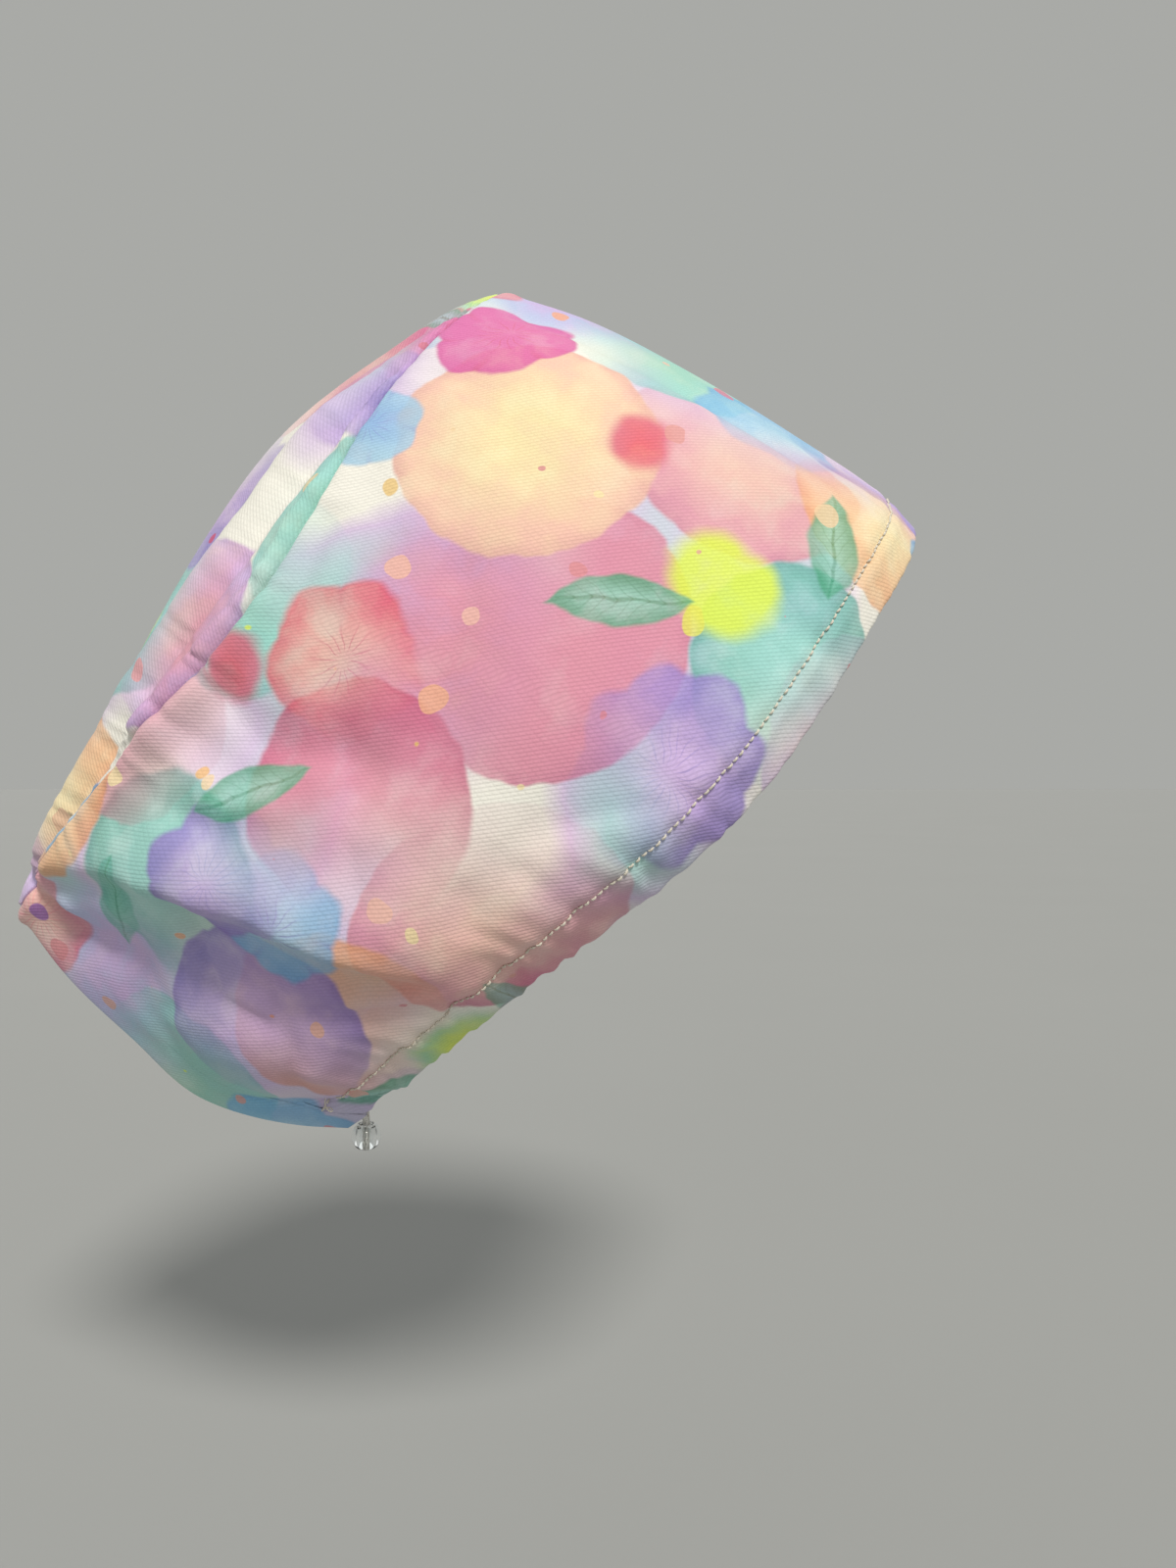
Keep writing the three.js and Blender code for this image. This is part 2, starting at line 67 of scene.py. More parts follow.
@dataclass(frozen=True)
class CapSizes:
    """Driving sizes of the cap, in metres, with its angles in degrees."""

    hem_tilt: float = 47.0
    half_length: float = 136 * MM
    half_width: float = 80 * MM
    height: float = 180 * MM
    cloth: float = 1.2 * MM
    front_fold_angle: float = 62.0
    back_fold_angle: float = 40.0
    casing_width: float = 15 * MM
    casing_layer: float = 1 * MM
    casing_stitched: float = 2.6 * MM
    cord_diameter: float = 2 * MM
    cord_clearance: float = 0.3 * MM
    seam_gap: float = 0.3 * MM
    mouth_setback: float = 15 * MM
    bead_diameter: float = 10 * MM
    crease_fade: float = 28 * MM
    stitch_fade: float = 19 * MM
    crown_fade: float = 16 * MM
    crease_radius: float = 1.5 * MM
    lip_radius: float = 1.7 * MM


class Level(NamedTuple):
    """One level of the band, with its places round the cap.

    front and back are (u, v) on the middle plane, the others (u, w, v). u is a share of the half length, w of
    the half width and v of the height.
    """

    up: float
    front: tuple[float, float]
    temple: tuple[float, float, float]
    side: tuple[float, float, float]
    nape: tuple[float, float, float]
    back: tuple[float, float]


AROUND = np.array([0, 0.27, 0.5, 0.75, 1])
LEVELS = (
    Level(0.0, front=(1.0, 0.0), temple=(0.72, 0.59, -0.033), side=(0.15, 0.88, -0.084),
          nape=(-0.5, 0.52, -0.031), back=(-1.07, 0.018)),
    Level(0.09, front=(1.006, 0.083), temple=(0.75, 0.65, 0.042), side=(0.14, 0.99, -0.012),
          nape=(-0.53, 0.675, 0.03), back=(-1.145, 0.085)),
    Level(0.3, front=(0.965, 0.297), temple=(0.7, 0.68, 0.235), side=(0.09, 1.0, 0.165),
          nape=(-0.61, 0.76, 0.165), back=(-1.263, 0.25)),
    Level(0.55, front=(0.898, 0.535), temple=(0.61, 0.655, 0.47), side=(0.0, 0.94, 0.365),
          nape=(-0.69, 0.76, 0.335), back=(-1.275, 0.435)),
    Level(0.8, front=(0.822, 0.73), temple=(0.49, 0.57, 0.685), side=(-0.12, 0.81, 0.565),
          nape=(-0.73, 0.68, 0.52), back=(-1.27, 0.61)),
    Level(1.0, front=(0.731, 0.878), temple=(0.33, 0.46, 0.842), side=(-0.22, 0.66, 0.735),
          nape=(-0.72, 0.52, 0.74), back=(-1.235, 0.752)),
)
STITCH_UP = LEVELS[1].up

# The crown's ridge from its front tip to its back tip, as shares of the half length and of the height
RIDGE = (
    (0.731, 0.88), (0.62, 0.918), (0.44, 0.953), (0.12, 0.998), (-0.25, 0.971),
    (-0.58, 0.911), (-0.96, 0.835), (-1.1, 0.8), (-1.235, 0.754),
)
SHOULDER_ACROSS = 0.62  # where the crown's shoulder stands, as a share of the way out to its foot
SHOULDER_RISE = 0.74  # and as a share of the way up to the ridge
PINCH_TIP = 0.3  # how round the tip of a pinched fold is
PINCH_SLOPE = 1.6  # how steeply its sides fall
NORMAL_STEP = 0.004  # how far apart, as shares of the way round and up, a normal's points are taken
INSIDE_STEP = 0.0025


class Profile(Enum):
    """How a fold looks in section."""

    SOFT = "soft"
    PINCH = "pinch"


@dataclass(frozen=True)
class Fold:
    """A fold along a path of places, each (round, up).

    depth is a share of the half width and stands out where positive. left and right are shares of the
    height: how far it fades to each side, walked from its start with round counted to the right. near and
    far are the shares of it that show on the wearer's right and left.
    """

    path: tuple[tuple[float, float], ...]
    depth: float
    left: float
    right: float
    near: float = 1.0
    far: float = 1.0
    profile: Profile = Profile.SOFT
    to_crown: bool = False
    to_stitches: bool = False


# The main folds
FOLDS = (
    Fold(((0.97, 1.02), (0.775, 0.76)), 0.062, 0.065, 0.16, far=0.8),
    Fold(((0.76, 0.66), (0.745, 0.38)), 0.045, 0.055, 0.12, far=0.8),
    Fold(((0.96, 0.88), (0.84, 0.68)), -0.055, 0.09, 0.065, far=0.8),
    Fold(((0.82, 0.56), (0.8, 0.36)), -0.04, 0.09, 0.06, far=0.8),
    Fold(((0.91, 0.5), (0.89, 0.25)), 0.035, 0.1, 0.07),
    Fold(((0.66, 0.9), (0.605, 0.72)), -0.05, 0.1, 0.12),
    Fold(((0.44, 0.66), (0.58, 0.54)), -0.028, 0.07, 0.08, far=0.7),
    Fold(((0.59, 0.26), (0.49, 0.16)), -0.02, 0.05, 0.06, far=0.6),
    Fold(((0.08, 0.9), (0.16, 0.3)), -0.024, 0.06, 0.07),
)

# Finer wrinkles, over the main folds
WRINKLES = (
    # lip of the overhang and the groove under it
    Fold(((0.9, 1.0), (0.815, 0.88), (0.765, 0.74), (0.745, 0.6), (0.745, 0.42), (0.74, 0.24)),
         0.034, 0.026, 0.09, far=0.5, to_crown=True),
    Fold(((0.93, 0.97), (0.84, 0.86), (0.79, 0.72), (0.772, 0.58), (0.77, 0.42), (0.765, 0.22)),
         -0.042, 0.06, 0.026, far=0.4, to_crown=True),
    # ridges and hollows below it
    Fold(((0.8, 0.4), (0.79, 0.26), (0.75, 0.12)), 0.03, 0.028, 0.022, far=0.4),
    Fold(((0.83, 0.34), (0.8, 0.2), (0.765, 0.08)), -0.028, 0.03, 0.02, far=0.5, to_stitches=True),
    Fold(((0.94, 0.86), (0.9, 0.7), (0.91, 0.56)), -0.026, 0.03, 0.03, far=0.6),
    # creases that fan over the pouch from under the overhang
    Fold(((0.795, 0.76), (0.845, 0.62), (0.865, 0.5), (0.86, 0.38)), -0.03, 0.018, 0.026, far=0.3,
         profile=Profile.PINCH),
    Fold(((0.86, 0.8), (0.93, 0.62), (0.95, 0.45)), -0.02, 0.03, 0.035, far=0.5),
    Fold(((0.82, 0.45), (0.87, 0.28), (0.93, 0.16)), -0.026, 0.03, 0.03, far=0.4, profile=Profile.PINCH),
    Fold(((0.78, 0.3), (0.83, 0.14), (0.86, 0.04)), -0.014, 0.028, 0.03, far=0.5, to_stitches=True),
    Fold(((0.97, 0.26), (0.955, 0.14), (0.94, 0.06), (0.93, 0.0)), -0.05, 0.024, 0.03, to_stitches=True,
         profile=Profile.PINCH),
    # pinch at the corner of the crown and the back seam
    Fold(((0.955, 1.0), (0.94, 0.92)), -0.04, 0.016, 0.02, far=0.7, to_crown=True, profile=Profile.PINCH),
    Fold(((0.93, 0.99), (0.915, 0.9)), 0.022, 0.02, 0.02, far=0.6, to_crown=True),
    Fold(((0.89, 0.22), (0.9, 0.1), (0.89, 0.0)), 0.016, 0.02, 0.022, to_stitches=True),
    # drag lines from the ear to the hollow behind it
    Fold(((0.44, 0.68), (0.52, 0.62), (0.6, 0.6)), -0.016, 0.035, 0.026, far=0.2),
    Fold(((0.6, 0.62), (0.66, 0.56), (0.7, 0.44)), -0.012, 0.03, 0.024, far=0.3, profile=Profile.PINCH),
    Fold(((0.5, 0.86), (0.57, 0.76), (0.62, 0.62)), -0.016, 0.04, 0.05, far=0.4),
    Fold(((0.6, 0.97), (0.62, 0.84), (0.6, 0.7)), -0.024, 0.03, 0.05, far=0.6, to_crown=True),
    Fold(((0.69, 0.99), (0.69, 0.86), (0.665, 0.74)), 0.024, 0.03, 0.04, far=0.6, to_crown=True),
    Fold(((0.75, 0.99), (0.735, 0.9), (0.71, 0.8)), -0.02, 0.022, 0.025, far=0.6, to_crown=True),
    # a tuck of the band beside the crown seam
    Fold(((0.42, 0.97), (0.52, 0.93), (0.64, 0.94), (0.78, 0.93)), -0.022, 0.016, 0.026, far=0.5,
         to_crown=True),
    Fold(((0.5, 0.99), (0.62, 0.985), (0.76, 0.985)), 0.012, 0.012, 0.014, far=0.7, to_crown=True),
    # short drags above the stitches at the temple
    Fold(((0.575, 0.23), (0.525, 0.13), (0.5, 0.07)), -0.01, 0.02, 0.024, far=0.3, to_stitches=True),
    Fold(((0.625, 0.24), (0.638, 0.1), (0.63, 0.02)), -0.011, 0.022, 0.02, far=0.4, to_stitches=True),
    Fold(((0.66, 0.3), (0.7, 0.15), (0.71, 0.03)), -0.01, 0.024, 0.024, far=0.4, to_stitches=True),
    Fold(((0.4, 0.2), (0.375, 0.12), (0.36, 0.04)), -0.006, 0.02, 0.024, far=0.5, to_stitches=True),
    Fold(((0.28, 0.26), (0.25, 0.14), (0.235, 0.04)), -0.006, 0.026, 0.022, far=0.5, to_stitches=True),
    # slack over the temple and by the front crease
    Fold(((0.1, 0.86), (0.15, 0.6), (0.15, 0.34)), -0.01, 0.03, 0.045, far=0.6),
    Fold(((0.24, 0.96), (0.29, 0.8), (0.36, 0.66)), -0.01, 0.035, 0.05, far=0.5, to_crown=True),
    Fold(((0.33, 0.99), (0.36, 0.9), (0.41, 0.8)), 0.008, 0.025, 0.03, far=0.4, to_crown=True),
    Fold(((0.12, 0.3), (0.19, 0.2), (0.25, 0.12)), -0.008, 0.03, 0.03, far=0.4),
    # the far side's own
    Fold(((0.34, 0.72), (0.46, 0.6), (0.55, 0.5)), -0.016, 0.04, 0.05, near=0.0),
    Fold(((0.3, 0.4), (0.42, 0.28), (0.5, 0.14)), -0.012, 0.035, 0.04, near=0.0, to_stitches=True),
    Fold(((0.88, 0.78), (0.83, 0.56), (0.84, 0.34)), -0.018, 0.04, 0.03, near=0.0),
    Fold(((0.7, 0.62), (0.66, 0.4), (0.68, 0.2)), 0.012, 0.03, 0.04, near=0.0),
    Fold(((0.95, 0.6), (0.9, 0.42), (0.92, 0.2)), -0.014, 0.025, 0.03, near=0.0, profile=Profile.PINCH),
)

# Tucks that run along the crown. "across" is 0 at the seam and 1 on the ridge.
CROWN_TUCKS = (
    # long tucks beside the seam
    Fold(((0.3, 0.16), (0.44, 0.26), (0.6, 0.28), (0.76, 0.2), (0.88, 0.14)), -0.05, 0.11, 0.07,
         profile=Profile.PINCH),
    Fold(((0.36, 0.42), (0.52, 0.5), (0.7, 0.46), (0.86, 0.38)), 0.022, 0.11, 0.1),
    Fold(((0.42, 0.6), (0.56, 0.74), (0.72, 0.72), (0.9, 0.6)), -0.04, 0.14, 0.1, far=0.8,
         profile=Profile.PINCH),
    Fold(((0.66, 0.12), (0.74, 0.16), (0.84, 0.1)), -0.024, 0.04, 0.05, far=0.6, profile=Profile.PINCH),
    # pleats that stand between the seam and the crown
    Fold(((0.49, 0.04), (0.56, 0.075), (0.63, 0.085), (0.69, 0.06)), 0.034, 0.034, 0.04, far=0.6),
    Fold(((0.395, 0.06), (0.43, 0.09), (0.475, 0.05)), 0.03, 0.03, 0.036, far=0.5),
    Fold(((0.27, 0.05), (0.305, 0.09), (0.345, 0.05)), 0.026, 0.028, 0.034, far=0.5),
    Fold(((0.73, 0.05), (0.78, 0.09), (0.83, 0.06)), -0.03, 0.03, 0.045, far=0.6),
    # across the crown
    Fold(((0.1, 0.2), (0.22, 0.5), (0.34, 0.8)), -0.018, 0.06, 0.06, far=0.6),
    Fold(((0.2, 0.1), (0.3, 0.3), (0.42, 0.6)), 0.014, 0.06, 0.06, far=0.5),
    Fold(((0.7, 0.85), (0.8, 0.7), (0.95, 0.6)), -0.02, 0.07, 0.07, far=0.9),
)


class Wander(NamedTuple):
    """A slow wave over a row of puckers: its size, its length in puckers and its share of their phase."""

    size: float
    puckers: float
    phase: float

    def at(self, turns: Array, phase: float) -> Array:
        """Its height where the puckers have gone through these turns."""
        return self.size * np.sin(turns / self.puckers + self.phase * phase)


PUCKER_DRIFTS = (Wander(1.7, 4.3, 1.0), Wander(1.1, 2.37, 2.1))  # how they crowd and spread, in radians
PUCKER_SWELL = Wander(0.38, 3.1, 1.3)  # how they grow and shrink


class Growth(NamedTuple):
    """Something that grows from a low share at the front of the cap to 1 further back."""

    low: float
    starts: float
    ends: float

    def at(self, half: Array) -> Array:
        """The share at places from the front, 0, to the back, 1."""
        return self.low + (1 - self.low) * smoothstep(half, self.starts, self.ends)


@dataclass(frozen=True)
class Welt:
    """A rounded welt along a seam, or a groove where its height is negative."""

    offset: float
    width: float
    height: float

    def at(self, away: Array) -> Array:
        """Its height at distances from the seam, in metres."""
        return self.height * np.exp(-(((away - self.offset) / self.width) ** 2))


@dataclass(frozen=True)
class Slackness:
    """Unevenness of slack cloth: soft lumps, finer lumps and narrow creases."""

    depth: float = 1.5 * MM
    pitch: float = 34 * MM
    fine_size: float = 0.45
    fine_scale: float = 2.3
    crease_size: float = 0.9
    crease_scale: float = 1.45
    crease_level: float = 0.22
    crease_shift: tuple[float, float, float] = (7.3, 2.1, 5.7)  # keeps the creases apart from the lumps

    def at(self, points: Array) -> Array:
        """How far it moves the cloth out at these points."""
        return self.depth * np.array([self.lumps(Vector(point) / self.pitch) for point in points])

    def lumps(self, place: Vector) -> float:
        """The unevenness at one place.

        Args:
            place: the place, in pitches.

        Returns:
            How uneven it is there.
        """
        creased = self.crease_scale * place + Vector(self.crease_shift)
        crease = self.crease_level - abs(noise.noise(creased))
        fine = self.fine_size * noise.noise(self.fine_scale * place)
        return noise.noise(place) + fine + self.crease_size * crease


@dataclass(frozen=True)
class Ruffle:
    """Puckers that a drawn or gathered edge leaves in the cloth. pitch, depth and fade are in metres."""

    pitch: float
    depth: float
    fade: float
    phase: float

    def height(self, run: Array, away: Array) -> Array:
        """How far the puckers move the cloth out.

        Args:
            run: metres along the edge.
            away: metres from the edge.

        Returns:
            The height in metres.
        """
        turns = run * (FULL_TURN / self.pitch)
        drift = sum(wander.at(turns, self.phase) for wander in PUCKER_DRIFTS)
        wave = np.sin(turns + drift) * (1 - PUCKER_SWELL.size + PUCKER_SWELL.at(turns, self.phase))
        return self.depth * wave * np.exp(-((away / self.fade) ** 2))


def through(places: Array, values: Array, x: Array, start: Optional[Array] = None,
            end: Optional[Array] = None, own: bool = False) -> Array:
    """Cubic through the rows of a table at uneven places.

    Args:
        places: where each row stands.
        values: the rows.
        x: where the cubic is wanted.
        start: the slope at the first row, or None for the chord's.
        end: the slope at the last row, or None for the chord's.
        own: whether each x has a column of the table to itself.

    Returns:
        The values at x.
    """
    gaps = np.diff(places).reshape((-1,) + (1,) * (values.ndim - 1))
    chords = np.diff(values, axis=0) / gaps
    slopes = np.empty_like(values)
    slopes[0] = chords[0] if start is None else start
    slopes[-1] = chords[-1] if end is None else end
    slopes[1:-1] = (chords[:-1] * gaps[1:] + chords[1:] * gaps[:-1]) / (gaps[:-1] + gaps[1:])
    k = np.clip(np.searchsorted(places, x) - 1, 0, len(places) - 2)
    step = places[k + 1] - places[k]
    part = (x - places[k]) / step
    trailing = (...,) + (None,) * (values.ndim - (2 if own else 1))
    step, part = step[trailing], part[trailing]

    def row(table: Array, index: Array) -> Array:
        """The rows of a table at an index, each in its own column where own is set."""
        return table[index, np.arange(len(index))] if own else table[index]

    square, cube = part**2, part**3
    return (
        (2 * cube - 3 * square + 1) * row(values, k)
        + (cube - 2 * square + part) * step * row(slopes, k)
        + (3 * square - 2 * cube) * row(values, k + 1)
        + (cube - square) * step * row(slopes, k + 1)
    )


def smoothstep(x: Array, low: float, high: float) -> Array:
    """0 below low, 1 above high and a smooth rise between them."""
    part = np.clip((x - low) / (high - low), 0, 1)
    return part * part * (3 - 2 * part)


def lengths_along(points: Array) -> Array:
    """The length walked to each of a line's points."""
    return np.concatenate([[0], np.cumsum(np.linalg.norm(np.diff(points, axis=0), axis=1))])


@dataclass
class CapForm:
    """Works out where every place of the cap's cloth lies."""

    sizes: CapSizes = field(default_factory=CapSizes)
    seam_ruffle: Ruffle = Ruffle(pitch=9.5 * MM, depth=0.42 * MM, fade=8 * MM, phase=0.7)
    hem_ruffle: Ruffle = Ruffle(pitch=12.5 * MM, depth=0.66 * MM, fade=17 * MM, phase=2.9)
    casing_crease: Ruffle = Ruffle(pitch=8.1 * MM, depth=0.42 * MM, fade=3.5 * MM, phase=5.2)
    crease_lean: float = 0.7
    stitch_groove: Welt = Welt(offset=0.0, width=1.15 * MM, height=-0.26 * MM)
    stitch_puff: Welt = Welt(offset=3.6 * MM, width=2.2 * MM, height=0.28 * MM)
    lip_puff: Welt = Welt(offset=4.2 * MM, width=2.8 * MM, height=0.95 * MM)
    hem_drawn: Growth = Growth(low=0.35, starts=0.2, ends=0.75)
    seam_gathered: Growth = Growth(low=0.45, starts=0.25, ends=0.6)
    slack: Growth = Growth(low=0.25, starts=0.4, ends=0.8)
    slackness: Slackness = Slackness()

    def __post_init__(self) -> None:
        """Works out the lengths of the cloth and the slopes at the creases."""
        s = self.sizes
        self.level_places = np.array([row.up for row in LEVELS])
        us = [[row.front[0], row.temple[0], row.side[0], row.nape[0], row.back[0]] for row in LEVELS]
        ws = [[0, row.temple[1], row.side[1], row.nape[1], 0] for row in LEVELS]
        vs = [[row.front[1], row.temple[2], row.side[2], row.nape[2], row.back[1]] for row in LEVELS]
        self.us = np.array(us).T * s.half_length
        self.ws = np.array(ws).T * s.half_width
        self.vs = np.array(vs).T * s.height
        ahead = np.hypot(self.us[1] - self.us[0], self.ws[1]) / AROUND[1]
        behind = np.hypot(self.us[4] - self.us[3], self.ws[3]) / (AROUND[4] - AROUND[3])
        front, back = math.radians(s.front_fold_angle), math.radians(s.back_fold_angle)
        self.u_slopes = (-ahead * math.cos(front), -behind * math.cos(back))
        self.w_slopes = (ahead * math.sin(front), -behind * math.sin(back))
        steps = np.linspace(0, 1, 61)
        stitch_line = self.smooth_half(steps, np.full_like(steps, STITCH_UP))
        self.half_round = float(lengths_along(stitch_line)[-1])
        steps = np.linspace(0, 1, 21)
        self.wall_rise = float(lengths_along(self.smooth_half(np.full_like(steps, AROUND[2]), steps))[-1])

    @property
    def mouth(self) -> float:
        """How far from the front the casing's mouths lie, from 0 to 1."""
        return 1 - self.sizes.mouth_setback / self.half_round

    def smooth_half(self, half: Array, up: Array) -> Array:
        """The smooth band on the side of +w, without folds.

        Args:
            half: a list of shares of the way from the front to the back.
            up: a list of shares of the way up, one for each.

        Returns:
            Points (u, w, v).
        """
        us = through(AROUND, self.us, half, *self.u_slopes)
        ws = through(AROUND, self.ws, half, *self.w_slopes)
        vs = through(AROUND, self.vs, half)
        table = np.stack([us, ws, vs], axis=-1).transpose(1, 0, 2)
        return through(self.level_places, table, up, own=True)

    def fold_depth(self, folds: tuple[Fold, ...], half: Array, up: Array, far_side: Array) -> Array:
        """How far folds move the cloth out.

        Args:
            folds: the folds that count.
            half: shares of the way from the front to the back.
            up: shares of the way up.
            far_side: whether each place is on the wearer's left.

        Returns:
            Metres out of the cloth, faded out by the creases, the stitches and the crown seam.
        """
        s = self.sizes
        clear_of_stitches = smoothstep((up - STITCH_UP) * self.wall_rise, 0, s.stitch_fade)
        clear_of_crown = smoothstep((1 - up) * self.wall_rise, 0, s.crown_fade)
        total = np.zeros_like(half)
        for fold in folds:
            share = np.where(far_side, fold.far, fold.near)
            height = self.fold_section(fold, half * self.half_round, up * self.wall_rise)
            if not fold.to_crown:
                height = height * clear_of_crown
            if not fold.to_stitches:
                height = height * clear_of_stitches
            total += height * share
        return total * smoothstep(np.minimum(half, 1 - half) * self.half_round, 0, s.crease_fade)

    def fold_section(self, fold: Fold, across: Array, rise: Array) -> Array:
        """One fold's height at places given in metres on the cloth.

        Args:
            fold: the fold.
            across: metres from the front crease along the cloth.
            rise: metres up the cloth from the hem's edge.

        Returns:
            The height in metres.
        """
        s = self.sizes
        path = np.array(fold.path) * (self.half_round, self.wall_rise)
        nearest = np.full(across.shape, np.inf)
        aside = np.zeros_like(across)
        past = np.zeros_like(across)
        for i in range(len(path) - 1):
            along = path[i + 1] - path[i]
            length = float(np.hypot(*along))
            along = along / length
            dx, dy = across - path[i][0], rise - path[i][1]
            travelled = dx * along[0] + dy * along[1]
            sideways = along[0] * dy - along[1] * dx
            short = np.maximum(0, -travelled)
            over = np.maximum(0, travelled - length)
            kink = (short if i > 0 else 0) + (over if i < len(path) - 2 else 0)
            distance = np.hypot(sideways, kink)
            closer = distance < nearest
            nearest = np.where(closer, distance, nearest)
            aside = np.where(closer, np.copysign(distance, sideways), aside)
            ends = (short if i == 0 else 0) + (over if i == len(path) - 2 else 0)
            past = np.where(closer, ends, past)
        reach = np.where(aside > 0, fold.left, fold.right) * s.height
        fade = max(fold.left, fold.right) * s.height
        if fold.profile is Profile.PINCH:
            section = np.exp(PINCH_TIP - np.sqrt((PINCH_SLOPE * aside / reach) ** 2 + PINCH_TIP**2))
        else:
            section = np.exp(-((aside / reach) ** 2))
        return fold.depth * s.half_width * section * np.exp(-((past / fade) ** 2))

    def edge_relief(self, half: Array, up: Array, far_side: Array) -> Array:
        """How far the seams, their gathers and the drawn hem move the cloth out.

        Args:
            half: shares of the way from the front to the back.
            up: shares of the way up.
            far_side: whether each place is on the wearer's left.

        Returns:
            Metres out of the cloth.
        """
        s = self.sizes
        run = half * self.half_round * np.where(far_side, 1.0, -1.0)
        below_crown = (1 - up) * self.wall_rise
        from_stitches = (up - STITCH_UP) * self.wall_rise
        off_creases = smoothstep(np.minimum(half, 1 - half) * self.half_round, 0, s.crease_fade / 2)
        drawn = self.hem_drawn.at(half) * off_creases
        gathered = self.seam_gathered.at(half)
        above_hem = np.maximum(from_stitches, 0)
        relief = self.hem_ruffle.height(run, above_hem) * drawn
        relief += self.casing_crease.height(run - self.crease_lean * from_stitches, above_hem) * drawn
        relief += self.seam_ruffle.height(run, below_crown) * gathered * off_creases
        uneven = 1 + 0.6 * np.sin(run / (19 * MM)) + 0.4 * np.sin(run / (7.1 * MM) + 1.3)
        relief += self.lip_puff.at(below_crown) * uneven * gathered
        into = np.clip((s.lip_radius - below_crown) / s.lip_radius, 0, 1)
        relief -= s.lip_radius * (1 - np.sqrt(1 - into**2))
        on_casing = half < self.mouth
        stitched = self.stitch_puff.at(np.abs(from_stitches)) + self.stitch_groove.at(from_stitches)
        return relief + np.where(on_casing, stitched, 0)

    def drape(self, points: Array, half: Array, up: Array) -> Array:
        """A slow unevenness that slack cloth has everywhere, faded out at its edges.

        Args:
            points: the smooth band's points, each on its own side.
            half: their shares of the way from the front to the back.
            up: their shares of the way up.

        Returns:
            Metres out of the cloth.
        """
        s = self.sizes
        clear = smoothstep(np.minimum(half, 1 - half) * self.half_round, 0, s.crease_fade)
        clear = clear * smoothstep((up - STITCH_UP) * self.wall_rise, 0, s.stitch_fade)
        clear = clear * smoothstep((1 - up) * self.wall_rise, 0, s.crown_fade)
        return self.slackness.at(points) * self.slack.at(half) * clear

    def surface(self, round_: Array, up: Array, smooth: bool = False, drape: bool = False) -> Array:
        """The outer face of the band.

        Args:
            round_: places round the cap from -1 to 1, which go on past the centre back.
            up: places up the band.
            smooth: leaves out folds, seams and gathers.
            drape: adds the slow unevenness too.

        Returns:
            Points in the cap's own frame, with one more axis than the places.
        """
        round_, up = np.broadcast_arrays(np.asarray(round_, float), np.asarray(up, float))
        shape = round_.shape
        turn = (round_.ravel() + 1) % 2 - 1
        up = up.ravel()
        half = np.abs(turn)
        soft = self.sizes.crease_radius / self.half_round
        front = np.hypot(half, soft) - soft * half
        back = np.hypot(1 - half, soft) - soft * (1 - half)
        inset = np.where(half < 0.5, front, 1 - back)
        points = self.smooth_half(inset, up)
        rounding = np.where(half < 0.5, half / front, (1 - half) / back)
        points[:, 1] *= rounding
        far_side = turn > 0
        if not smooth:
            out = self.fold_depth(FOLDS + WRINKLES, half, up, far_side) + self.edge_relief(half, up, far_side)
            if drape:
                sides = np.stack([np.ones_like(half), np.where(far_side, 1, -1), np.ones_like(half)], -1)
                out = out + self.drape(points * sides, half, up)
            points = points + self.half_normals(half, up) * out[:, None]
        points[:, 1] *= np.where(far_side, 1, -1)
        return points.reshape(shape + (3,))

    def half_normals(self, half: Array, up: Array) -> Array:
        """Outward normals of the smooth band on the side of +w.

        Args:
            half: shares of the way from the front to the back.
            up: shares of the way up.

        Returns:
            Unit normals, which lie in the middle plane on a crease.
        """
        step = NORMAL_STEP
        above, below = np.minimum(up + step, 1), np.maximum(up - step, 0)
        rise = self.smooth_half(half, above) - self.smooth_half(half, below)
        behind, ahead = np.minimum(half + step, 1), np.maximum(half - step, 0)
        along = self.smooth_half(behind, up) - self.smooth_half(ahead, up)
        normal = np.cross(along, rise)
        normal /= np.linalg.norm(normal, axis=1, keepdims=True)
        to_crease = np.minimum(half, 1 - half)
        normal[:, 1] *= smoothstep(to_crease, 0, 2 * step)
        return normal / np.linalg.norm(normal, axis=1, keepdims=True)

    def inside(self, round_: Array, up: Array, inward: Array) -> Array:
        """Points that lie under the outer face.

        Args:
            round_: places round the cap.
            up: places up the band.
            inward: how far under the face each point lies, in metres.

        Returns:
            Points (u, w, v).
        """
        step = INSIDE_STEP
        ahead = self.surface(round_ + step, up) - self.surface(round_ - step, up)
        rise = self.surface(round_, np.minimum(up + step, 1)) - self.surface(round_, up - step)
        normal = np.cross(ahead, rise)
        normal /= np.linalg.norm(normal, axis=-1, keepdims=True)
        return self.surface(round_, up) - normal * np.asarray(inward)[..., None]

    def to_world(self, points: Array) -> Array:
        """Tips points back as the cap is worn.

        Args:
            points: points (u, w, v) of the cap's own frame.

        Returns:
            The points (x, y, z) in the scene.
        """
        tilt = math.radians(self.sizes.hem_tilt)
        u, w, v = np.moveaxis(points, -1, 0)
        x = u * math.cos(tilt) - v * math.sin(tilt)
        z = u * math.sin(tilt) + v * math.cos(tilt)
        return np.stack([x, w, z], -1)


